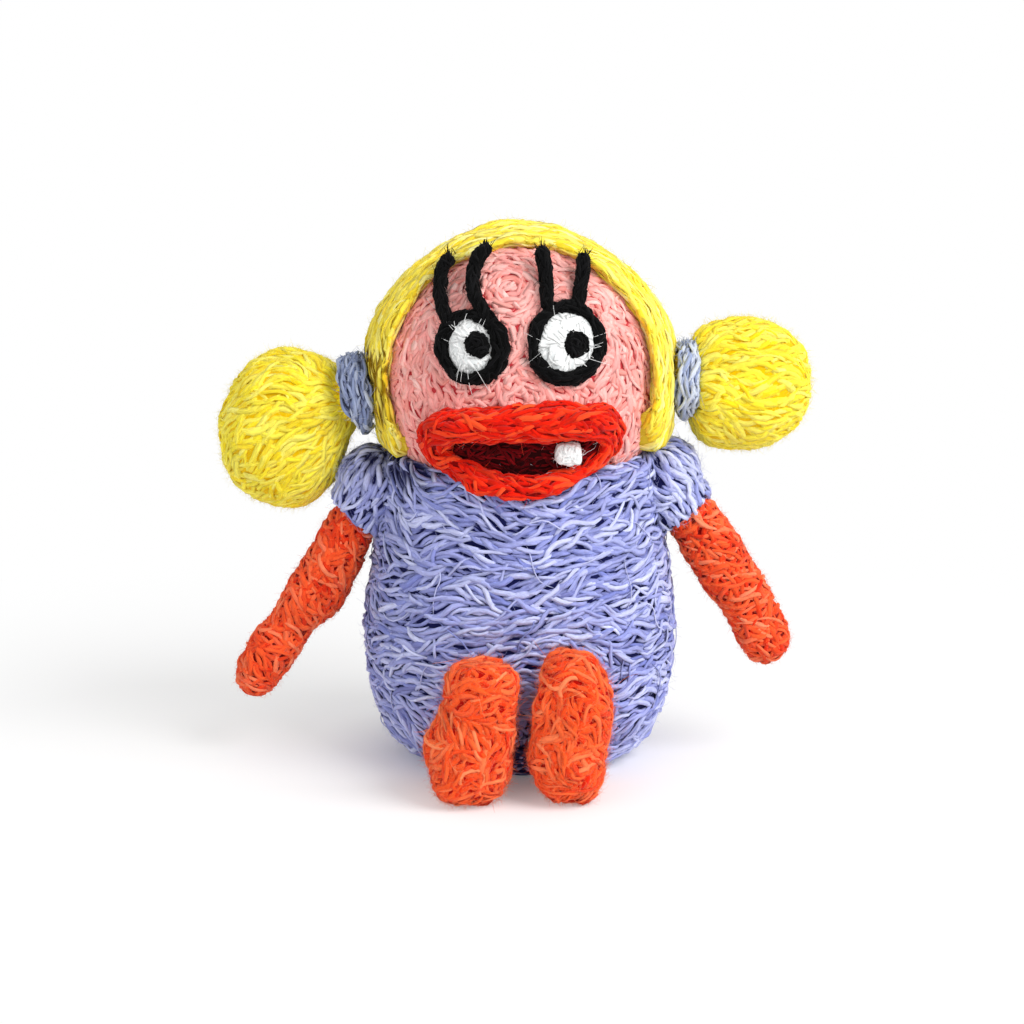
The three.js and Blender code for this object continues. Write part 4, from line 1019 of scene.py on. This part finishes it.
r = np.random.default_rng(130)
form = head_form(-0.4)
EYE_MIDDLES = ((-8.16, 7.62), (7.82, 8.3))  # what the face's strands go round
face_ways = [round_a((-1.98, 17.58), 0.12), *(round_a(middle) for middle in EYE_MIDDLES), round_a((0, -1))]
face_noise, face_patch = Waves(131, 9), Waves(132, 5)


def face_field(p, normal):
    """Round the forehead's spiral, round the eyes, and along the edge of the hair elsewhere."""
    x, up = p[:, 0], p[:, 2] - HEAD_Z
    pull = [3.2 * np.exp(-((x + 1.98) ** 2 + (up - 17.4) ** 2) / 26)]
    pull += [2.0 * np.exp(-((x - ex) ** 2 + (up - eu) ** 2) / 52) for ex, eu in EYE_MIDDLES]
    pull.append(np.full(len(p), 0.45) + 0.25 * face_patch(p))
    best = np.argmax(pull, 0)
    way = np.array([ring(p, normal) for ring in face_ways])[best, np.arange(len(p))]
    angle = np.where(best == 0, 0.1, 0.4) * face_noise(p) + np.where(best == 3, 0.5, 0.1) * face_patch(p)
    return turned(unit(flattened(way, normal) + 1e-6), normal, angle[:, None])


def face_seen(p):
    return (arch_distance(p) < 1.6) & (p[:, 1] < 0) & (p[:, 2] > 52)


crossing = lambda p, normal: np.cross(normal, face_field(p, normal))
pile = Pile(form)
yarn_layer(pile, form, 1.15, face_field, r, 5, 0.58, 0.28, lift=(-0.1, 0.1), tone=(0.1, 0.7), stations=7, sink=0.45,
           shade=0.1, spread=0.4, bend=0.1, weave=0.08, keep=face_seen)
yarn_layer(pile, form, 1.45, face_field, r, 6, 0.66, 0.2, lift=(0.03, 0.22), tone=(0.3, 0.85), sink=0.55, spread=0.2,
           bend=0.06, weave=0.1, dive=2.4, keep=face_seen)
yarn_layer(pile, form, 3.0, crossing, r, 2.8, 0.36, 0.22, lift=(0.25, 0.4), tone=(0.2, 0.8), stations=7, spread=0.4,
           weave=0.05, keep=face_seen)
fuzz_layer(pile, form, r, 420, 2.6, 0.03, 0.3, keep=face_seen, start=0.3, curl=1.0)
pile.build("head_felt", [PINK], "torso", "skin", ["head", "head_stuffing"], 0.9)

# ---------------- hair bunches and ties

TIE_RADIUS = 6.15
for side, s in SIDES.items():
    r = np.random.default_rng(140 + s)
    bunch, tie = BUNCHES[side], TIES[side]
    pivot, outwards = tie_place(side)
    ball = np.array([s * bunch["ball"][0], bunch["ball"][1], HEAD_Z + bunch["ball"][2]])
    form = egg(ball, np.array(bunch["half"]) - 0.45, bunch["lean"], 141 + s, s, bunch["full"])
    towards = unit(ball - pivot)
    field = wander(away_from(pivot - towards * 2), Waves(142 + s, 9), 0.35)
    pile, strands = Pile(form), Pile()
    yarn_layer(pile, form, 1.6, field, r, 8, 0.52, 0.36, lift=(-0.15, 0.15), tone=(0.3, 0.8), wave=0.4)
    yarn_layer(strands, form, 1.65, field, r, 9, 0.58, 0.22, lift=(0.0, 0.24), tone=(0.4, 0.95), stations=11, wave=0.5,
               spread=0.3, sink=0.55, weave=0.12, shade=-0.3)
    # The neck, which goes through the tie into the head
    line = smooth_line([pivot - outwards * 1.9, pivot, pivot + towards * 2.4, pivot + towards * 5.5], 14)
    thick = np.interp(np.linspace(0, 1, 14), [0, 0.35, 0.6, 1], [4.4, 4.5, 3.6, 4.9])
    neck = limb(np.vstack([line[0], line, line[-1]]), [0, *thick, 0])
    pile.add_form(neck)
    yarn_layer(pile, neck, 1.1, field, r, 6, 0.4, 0.3, lift=(-0.2, 0.1), tone=(0, 0.8), shade=0.05)
    fuzz_layer(strands, form, r, 4000, 1.5, 0.016, 0.7, start=0.3, curl=1.6, stations=4)
    pile.build(f"bunch_{side}_felt", [YELLOW], f"bunch_{side}", "hair", [f"hair_bunch_{side}"], 0.9)
    strands.build(f"bunch_{side}_strands", [YELLOW], f"bunch_{side}", "hair")

    # The tie: yarn wound round the neck of the bunch
    ahead, upwards = np.array([0, 1.0, 0]), np.cross(outwards, [0, 1, 0])
    a, phi = circle(72), circle(20)
    radial = ahead * np.cos(a)[:, None] + upwards * np.sin(a)[:, None]
    height = np.sin(a) * np.sign(upwards[2])
    width = np.interp(height, np.linspace(-1, 1, len(tie["widths"])), tie["widths"])
    rho = TIE_RADIUS + 0.75 * signed_power(np.sin(phi), 0.7)
    along = width[:, None] * signed_power(np.cos(phi), 0.7) + tie["shift"]
    form = rings(pivot + radial[:, None] * rho[:, None] + outwards * along[..., None], closed=True)
    field = wander(around_line(outwards, pivot), Waves(143 + s, 6), 0.22)
    pale = 0.42 if s > 0 else 0.0
    pile = Pile(form)
    yarn_layer(pile, form, 0.95, field, r, 7, 0.36, 0.27, lift=(-0.1, 0.15), tone=(pale, 0.75 + pale), sink=0.4,
               spread=0.15, shade=0.45)
    yarn_layer(pile, form, 1.55, field, r, 8, 0.36, 0.28, lift=(0.15, 0.5), tone=(0.25 + pale, 1 + pale), sink=0.6,
               spread=0.22, stations=11)
    fuzz_layer(pile, form, r, 160, 2.4, 0.035)
    # Loose ends that stand up at the top
    n = 60
    peak = pivot + np.array([0, 0, 1.0]) * 5.9 + outwards * tie["shift"]
    start = peak + outwards * r.uniform(-1, 1, (n, 1)) * tie["widths"][-1] + ahead * r.uniform(-3, 0.5, (n, 1))
    way = unit(np.array([0, -0.25, 1.0]) + outwards * r.uniform(-0.1, 0.7, (n, 1)) + r.normal(size=(n, 3)) * 0.25)
    loose_ends(pile, start, way, r.uniform(0.9, 2.4, (n, 1)), (0.11, 0.5), 0.35, r)
    pile.build(f"tie_{side}_yarn", [GREY], "torso", "dress", [f"hair_tie_{side}"], 0.8)

# ---------------- arms

for side, s in SIDES.items():
    r = np.random.default_rng(150 + s)
    form, down, top, waves = arm_form(side), arm_way(side), hang(side, [0, 0, 0.0]), Waves(151 + s, 8)

    def arm_field(lean):
        """Round the arm, at an angle down it."""

        def field(p, normal):
            angle = lean + 0.45 * waves(p)[:, None]
            return unit(np.cross(down, normal) + 1e-6) * np.cos(angle) + down * np.sin(angle)

        return field

    felt, strands = Pile(form), Pile()
    below = lambda p: (p - top) @ down > 1.0
    yarn_layer(felt, form, 1.25, arm_field(0.9), r, 6, 0.5, 0.28, lift=(-0.15, 0.1), tone=(0, 0.6), shade=0.15,
               spread=0.4, keep=below)
    yarn_layer(strands, form, 1.5, arm_field(-0.6), r, 7.5, 0.5, 0.27, lift=(-0.05, 0.2), tone=(0.2, 0.8), spread=0.3,
               bend=0.1, stations=11, sink=0.45, keep=below)
    yarn_layer(strands, form, 2.6, arm_field(-0.35), r, 8.5, 0.4, 0.24, lift=(0.12, 0.35), tone=(0.3, 0.9), spread=0.35,
               bend=0.16, stations=11, sink=0.5, keep=below)
    fuzz_layer(strands, form, r, 2500, 1.3, 0.015, keep=below, start=0.3, curl=1.6, stations=4)
    felt.build(f"arm_{side}_felt", [ORANGE], f"arm_{side}", "limb", [f"arm_{side}"], 0.9)
    strands.build(f"arm_{side}_strands", [ORANGE], f"arm_{side}", "limb")

# ---------------- legs and feet

LEG_RADIUS = 5.4
for side, s in SIDES.items():
    r = np.random.default_rng(160 + s)
    form, waves, swirls = foot_form(side), Waves(161 + s, 16), Waves(162 + s, 7)

    def foot_field(p, normal):
        level = unit(np.cross([0.0, 0.3, 1], normal) + 1e-6)
        return turned(level, normal, (1.5 * waves(p) + 0.9 * swirls(p))[:, None])

    felt, strands = Pile(form), Pile()
    # Painted shade: the strands near the floor are darker, where the feet's contact shadow falls.
    look = dict(keep=lambda p: p[:, 2] > 0.6, dark=lambda p: 0.6 * (1 - smoothstep(0.5, 3.5, p[..., 2])))
    yarn_layer(felt, form, 1.2, foot_field, r, 5.5, 0.5, 0.28, lift=(-0.15, 0.1), tone=(0, 0.65), shade=0.1, spread=0.5,
               bend=0.1, **look)
    yarn_layer(strands, form, 1.5, foot_field, r, 8, 0.47, 0.27, lift=(-0.05, 0.2), tone=(0.2, 0.8), bend=0.16,
               stations=11, sink=0.45, wave=0.1, **look)
    yarn_layer(strands, form, 2.3, foot_field, r, 10, 0.37, 0.24, lift=(0.12, 0.36), tone=(0.4, 0.95), spread=0.4,
               bend=0.2, stations=13, sink=0.5, wave=0.1, **look)
    fuzz_layer(strands, form, r, 5000, 1.6, 0.015, 0.6, start=0.3, curl=2.0, stations=4, tone=(0.7, 1))
    fuzz_layer(strands, form, r, 40, 5, 0.035, 0.4, start=0.3, curl=2.6, stations=9, tone=(0.9, 1))
    # The leg: a ball end in the dress's pocket, and a roll into the foot
    hip = hip_place(s)
    line = smooth_line([hip, hip + [0, -4, 0.2], [s * 8.6, -31, 9.2]], 12)
    turns = np.linspace(0, math.pi / 2, 9)[:-1]
    ball = hip + np.array([0, LEG_RADIUS, 0]) * np.cos(turns)[:, None]
    thick = [*LEG_RADIUS * np.sin(turns), *np.full(12, LEG_RADIUS), 0]
    stub = limb(np.vstack([ball, line, line[-1]]), thick, up=(0, 0, 1))
    felt.add_form(stub)
    field = wander(lambda p, normal: np.cross([0, 1.0, 0], normal), swirls, 0.7)
    yarn_layer(felt, stub, 1.1, field, r, 6, 0.48, 0.3, lift=(-0.15, 0.2), tone=(0.1, 0.8), spread=0.5)
    felt.build(f"leg_{side}_felt", [FOOT], f"leg_{side}", "limb", [f"leg_{side}"], 0.9)
    strands.build(f"leg_{side}_strands", [FOOT], f"leg_{side}", "limb")

# ---------------- mouth

# Outlines as (x, above the head's middle)
LIP_OUTER = [
    (-17.6, -8), (-16.5, -5.9), (-13.8, -4.1), (-10.5, -3.4), (-5.9, -3), (-2.6, -2.7), (0.8, -2), (6.1, -2),
    (10.3, -2.5), (13.7, -2.7), (16, -3.9), (17.4, -6), (17.6, -8.7), (16.7, -10.8), (15, -12.4), (12.9, -14.7),
    (10, -16.3), (6.6, -17.7), (2.4, -18.3), (-1.7, -18.3), (-5.9, -18), (-9.3, -17.2), (-11.8, -15.5),
    (-13.5, -14.2), (-16, -12.6), (-17.3, -10.5)]
LIP_INNER = [
    (-12.7, -10.6), (-10.8, -8.7), (-7.5, -8.3), (-4.2, -8.2), (-0.1, -8.4), (4, -8.3), (7.3, -8.2), (10.6, -8),
    (13.6, -8.9), (13.9, -10.3), (12.9, -12.1), (10.8, -13.6), (7.4, -14.6), (3.3, -15.2), (-0.9, -15.4),
    (-4.2, -14.7), (-7.2, -13.5), (-10.1, -12.3), (-12.1, -11.5)]
LIP_FORWARD = 0.7
r = np.random.default_rng(170)
middle = np.array([0.6, -11.0])
outer, inner = (contour(points, middle, 110, (2.2, 1.0)) for points in (LIP_OUTER, LIP_INNER))
half = np.linalg.norm(outer - inner, axis=1) / 2
form = band(inner, outer, 0.7 * half + 0.3, 0.9, 24, 1.0, LIP_FORWARD)
form.lump(171, 5, 0.18)
line = on_face(*((inner + outer) / 2).T, 1.5, LIP_FORWARD)
lip_ways = unit(np.roll(line, -1, 0) - np.roll(line, 1, 0))


def lip_field(p, normal):
    return lip_ways[np.argmin(((p[:, None] - line[None]) ** 2).sum(-1), 1)]


lips = wander(lip_field, Waves(172, 5), 0.28)
pile = Pile(form)
yarn_layer(pile, form, 1.15, lips, r, 6, 0.42, 0.32, lift=(-0.1, 0.15), tone=(0, 0.6), shade=0.15, sink=0.5)
yarn_layer(pile, form, 1.4, lips, r, 8, 0.44, 0.25, lift=(0.1, 0.4), tone=(0.25, 1), sink=0.6, spread=0.3, dive=2.4)
fuzz_layer(pile, form, r, 200, 2.2, 0.035)
pile.build("lips_felt", [RED], "torso", "lip", ["lips"], 0.8)

r = np.random.default_rng(180)
form = dome(middle + (inner - middle) * 1.08, middle, 0.5, 0.35, rows=16, under=0.3)
pile = Pile(form)
field = wander(toward(1.0, 0, 0.1), Waves(181, 6), 0.5)
yarn_layer(pile, form, 0.8, field, r, 5, 0.28, 0.2, lift=(-0.05, 0.25), tone=(0, 0.9), sink=0.3, spread=0.4)
yarn_layer(pile, form, 3.2, field, r, 5, 0.045, 0.045, lift=(0.5, 0.9), tone=(1, 1), sink=0.5, spread=1.5, bend=0.2,
           slot=1, keep=lambda p: p[:, 1] < 0)
pile.build("mouth_felt", [MAROON, PALE], "torso", "lining", ["mouth_lining"], 0.6)

# The tooth: a block with round edges and a dent
r = np.random.default_rng(190)
t, a = np.linspace(0, np.pi, 26), circle(40)
SQUARE = 0.42
pts = np.stack([signed_power(np.sin(t), SQUARE)[:, None] * signed_power(np.cos(a), SQUARE),
                signed_power(np.sin(t), SQUARE)[:, None] * signed_power(np.sin(a), 0.6),
                signed_power(-np.cos(t), 0.55)[:, None] * np.ones(40)], -1) * [2.2, 1.4, 1.9]
pts[0], pts[-1] = pts[0].mean(0), pts[-1].mean(0)
form = rings(pts + on_face(8.2, -10.8, 1.6, LIP_FORWARD))
dimple = np.exp(-((form.v[:, 0] - 8.4) ** 2 + (form.v[:, 2] - HEAD_Z + 10.9) ** 2) / 0.35) * (form.v[:, 1] < -24)
form.push(Waves(191, 3)(form.v) * 0.08 - 0.5 * dimple)
pile = Pile(form)
field = wander(lambda p, normal: np.cross(normal, [0.4, -1.0, 0.2]), Waves(192, 3), 0.7)
yarn_layer(pile, form, 0.6, field, r, 2.4, 0.4, 0.07, lift=(-0.06, -0.02), tone=(0.2, 0.9), sink=0.1, spread=0.5,
           weave=0.02)
fuzz_layer(pile, form, r, 60, 1.2, 0.025, start=0.1)
pile.build("tooth_felt", [WHITE], "torso", "white", ["tooth"], 0.9)

# ---------------- eyes

EYES = {
    "right": dict(ring=((-8.1, 7.2), (6.3, 6.0)), white=((-8.5, 7.3), (3.75, 4.3)), pupil=((-7.2, 7.6), 2.1)),
    "left": dict(ring=((7.7, 7.8), (6.75, 6.7)), white=((7.8, 8.1), (4.75, 4.75)), pupil=((9.1, 7.6), 2.15)),
}
for side, eye in EYES.items():
    s = SIDES[side]
    r = np.random.default_rng(200 + s)
    (centre, half), (white, white_half), (pupil, radius) = eye["ring"], eye["white"], eye["pupil"]
    form = band(oval(white, white_half, 72, 0.1, 202 + s), oval(centre, half, 72, 0.12, 201 + s), 1.15, 0.35, 16, 0.5)
    pile = Pile(form)
    field = wander(round_a(centre), Waves(203 + s, 4), 0.3)
    yarn_layer(pile, form, 0.95, field, r, 4, 0.32, 0.24, lift=(-0.05, 0.2), tone=(0, 0.8), sink=0.3, spread=0.4,
               weave=0.08)
    fuzz_layer(pile, form, r, 220, 1.6, 0.03, start=0.15)
    pile.build(f"eye_ring_{side}_felt", [BLACK], "torso", "black", [f"eye_ring_{side}"], 0.8)

    form = dome(oval(white, (white_half[0] + 0.35, white_half[1] + 0.35), 56), white, 0.35, 1.55, 3)
    form.lump(205 + s, 3.5, 0.12)
    pile = Pile(form)
    middle = on_face(*white, 0)
    yarn_layer(pile, form, 0.7, wander(away_from(middle), Waves(206 + s, 4), 0.4), r, 2.8, 0.46, 0.08,
               lift=(-0.07, -0.02), tone=(0.3, 1), sink=0.1, spread=0.7, weave=0.02,
               keep=lambda p: p[:, 1] < middle[1] + 2.2)
    # Fine pale fibres that cross the black ring
    n, stations = 14, 7
    a = r.uniform(0, 2 * np.pi, n)
    rim = np.stack([np.cos(a) * white_half[0], np.sin(a) * white_half[1]], -1)
    start = np.array(white) + rim * r.uniform(0.6, 1, (n, 1))
    way = unit(start - white) + r.normal(0, 0.25, (n, 2))
    reach = np.linspace(0, 1, stations)[None, :, None] * r.uniform(1.5, 4, (n, 1, 1))
    flat = start[:, None] + way[:, None] * reach + r.normal(0, 0.1, (n, 1, 2)) * reach**1.5
    pts = on_face(flat[..., 0], flat[..., 1], 1.75 - 0.9 * np.linspace(0, 1, stations) ** 3)
    fibres(pile, pts, np.full((n, stations), 0.038) * r.uniform(0.5, 1.2, (n, 1)), r)
    pile.build(f"eye_white_{side}_felt", [WHITE], "torso", "white", [f"eye_white_{side}"], 0.8)

    form = dome(oval(pupil, (radius, radius), 48, 0.06, 207 + s), pupil, 1.3, 2.35, 4)
    pile = Pile(form)
    field = wander(round_a(pupil), Waves(208 + s, 3), 0.5)
    yarn_layer(pile, form, 0.6, field, r, 2.2, 0.22, 0.17, lift=(-0.05, 0.12), tone=(0, 0.8), sink=0.2, spread=0.5,
               weave=0.05)
    fuzz_layer(pile, form, r, 60, 1.0, 0.022, 0.4, start=0.1)
    pile.build(f"pupil_{side}_felt", [BLACK], "torso", "black", [f"pupil_{side}"], 0.8)

# ---------------- lashes

# Each lash as [x, up, lift] along its middle, from the eye to the tip
LASHES = {
    "lash_right_outer": [(-12.3, 10.9, 1.0), (-13.6, 14.6, 1.1), (-13.4, 17.4, 2.0), (-12.8, 19.1, 3.2),
                         (-11.4, 20.5, 3.7)],
    "lash_right_inner": [(-4.8, 11.6, 1.0), (-7.0, 14.4, 1.2), (-8.1, 16.8, 1.2), (-7.8, 19.3, 2.0), (-6.8, 21.1, 3.4),
                         (-5.2, 22.2, 3.8)],
    "lash_left_inner": [(4.5, 13.8, 1.0), (4.5, 16.6, 1.1), (4.3, 18.8, 1.6), (3.9, 20.4, 3.0), (3.4, 22.0, 3.8)],
    "lash_left_outer": [(9.8, 13.6, 1.0), (10.2, 16.4, 1.1), (10.4, 18.2, 1.8), (10.4, 19.5, 3.0), (10.4, 20.6, 3.7)],
}
LASH_FORWARD = 0.6
for k, (name, points) in enumerate(LASHES.items()):
    r = np.random.default_rng(210 + k)
    line = on_face(*smooth_line(points, 22).T, LASH_FORWARD)
    size = np.interp(np.linspace(0, 1, 22), [0, 0.15, 0.6, 0.9, 1], [0.8, 1.0, 1.05, 1.1, 0.8])
    form = limb(np.vstack([line[0], line, line[-1]]), [0, *size, 0], up=(0, -1, 0), sides=20)
    pile = Pile(form)
    rise = unit(line[-1] - line[0])
    field = wander(toward(*rise), Waves(211 + k, 4), 0.3)
    yarn_layer(pile, form, 0.7, field, r, 4, 0.28, 0.22, lift=(-0.05, 0.15), tone=(0, 0.8), sink=0.2, spread=0.3,
               weave=0.06)
    fuzz_layer(pile, form, r, 130, 1.3, 0.03, 0.6, start=0.1)
    # A frayed tip
    n = 26
    start = line[-2] + r.normal(size=(n, 3)) * 0.4
    way = unit(rise + r.normal(size=(n, 3)) * 0.35)
    loose_ends(pile, start, way, r.uniform(0.8, 2.6, (n, 1)), (0.09, 0.6), 0.4, r)
    pile.build(f"{name}_felt", [BLACK], "torso", "black", [name], 0.8)

# ---------------- stage

# The camera, fitted to the photo: its pitch, how far it is from its target, and the picture's scale
CAMERA_PITCH, CAMERA_REACH, TARGET = math.radians(12), 480.0, Vector((-1.46, 0, 45.03))
PIXELS_PER_MM, PICTURE, SENSOR = 5.477, 1024, 36
camera = bpy.data.cameras.new("camera")
camera.sensor_width = SENSOR
camera.lens = PIXELS_PER_MM * CAMERA_REACH * SENSOR / PICTURE
camera.clip_start, camera.clip_end = 0.01, 20
eye = bpy.data.objects.new("camera", camera)
back = Vector((0, -math.cos(CAMERA_PITCH), math.sin(CAMERA_PITCH)))
eye.location = (TARGET + back * CAMERA_REACH) * MM
eye.rotation_euler = (math.pi / 2 - CAMERA_PITCH, 0, 0)
bpy.context.scene.collection.objects.link(eye)
bpy.context.scene.camera = eye


def lamp(name, at, aim, size, power):
    """A round lamp; its places and size are in metres."""
    light = bpy.data.lights.new(name, "AREA")
    light.shape, light.size, light.energy = "DISK", size, power
    obj = bpy.data.objects.new(name, light)
    obj.location = at
    obj.rotation_euler = (Vector(aim) - Vector(at)).to_track_quat("-Z", "Y").to_euler()
    bpy.context.scene.collection.objects.link(obj)


lamp("key", (0.6, -0.45, 0.62), (0, 0, 0.045), 0.7, 8.8)
lamp("fill", (-0.5, -0.7, 0.4), (0, 0, 0.05), 0.7, 1.1)

# The world is plain white where it is seen, and dimmer as light.
world = bpy.data.worlds.new("world")
bpy.context.scene.world = world
t = empty_tree(world)
ray = node(t, "LightPath").outputs
seen = node(t, "Math", {0: ray["Is Camera Ray"], 1: ray["Is Glossy Ray"]}, operation="MAXIMUM")
seen = node(t, "Math", {0: seen.outputs[0], 1: ray["Is Transmission Ray"]}, operation="MAXIMUM")
dim, bright = (node(t, "Background", {"Color": (1, 1, 1, 1), "Strength": strength}) for strength in (0.62, 1.0))
pick = node(t, "MixShader", {0: seen.outputs[0], 1: dim.outputs[0], 2: bright.outputs[0]})
node(t, "OutputWorld", {0: pick.outputs[0]})

# The floor is white paper near the doll, and glows more and more further out.
FLOOR_HALF, FLOOR_FADE = 3.0, 0.2
mesh = bpy.data.meshes.new("floor")
corners = [(x * FLOOR_HALF, y * FLOOR_HALF, 0) for x, y in ((-1, -1), (1, -1), (1, 1), (-1, 1))]
mesh.from_pydata(corners, [], [(0, 1, 2, 3)])
floor = bpy.data.objects.new("floor", mesh)
bpy.context.scene.collection.objects.link(floor)
m = bpy.data.materials.new("floor")
t = empty_tree(m)
paper = node(t, "BsdfDiffuse", {"Color": (0.93, 0.93, 0.935, 1)})
glow = node(t, "Emission", {"Strength": 1.0})
where = node(t, "TexCoord")
reach = node(t, "VectorMath", {0: where.outputs["Object"]}, operation="LENGTH")
fade = node(t, "MapRange", {"Value": reach.outputs["Value"], "From Max": FLOOR_FADE})
levels = [(0.1, 0.1), (0.21, 0.42), (0.35, 0.53), (0.9, 1.0)]
share = ramp(t, fade.outputs[0], [(at, (level, level, level, 1)) for at, level in levels], "EASE")
mix = node(t, "MixShader", {0: share, 1: paper.outputs[0], 2: glow.outputs[0]})
node(t, "OutputMaterial", {0: mix.outputs[0]})
mesh.materials.append(m)

bpy.context.scene.view_settings.view_transform = "Standard"
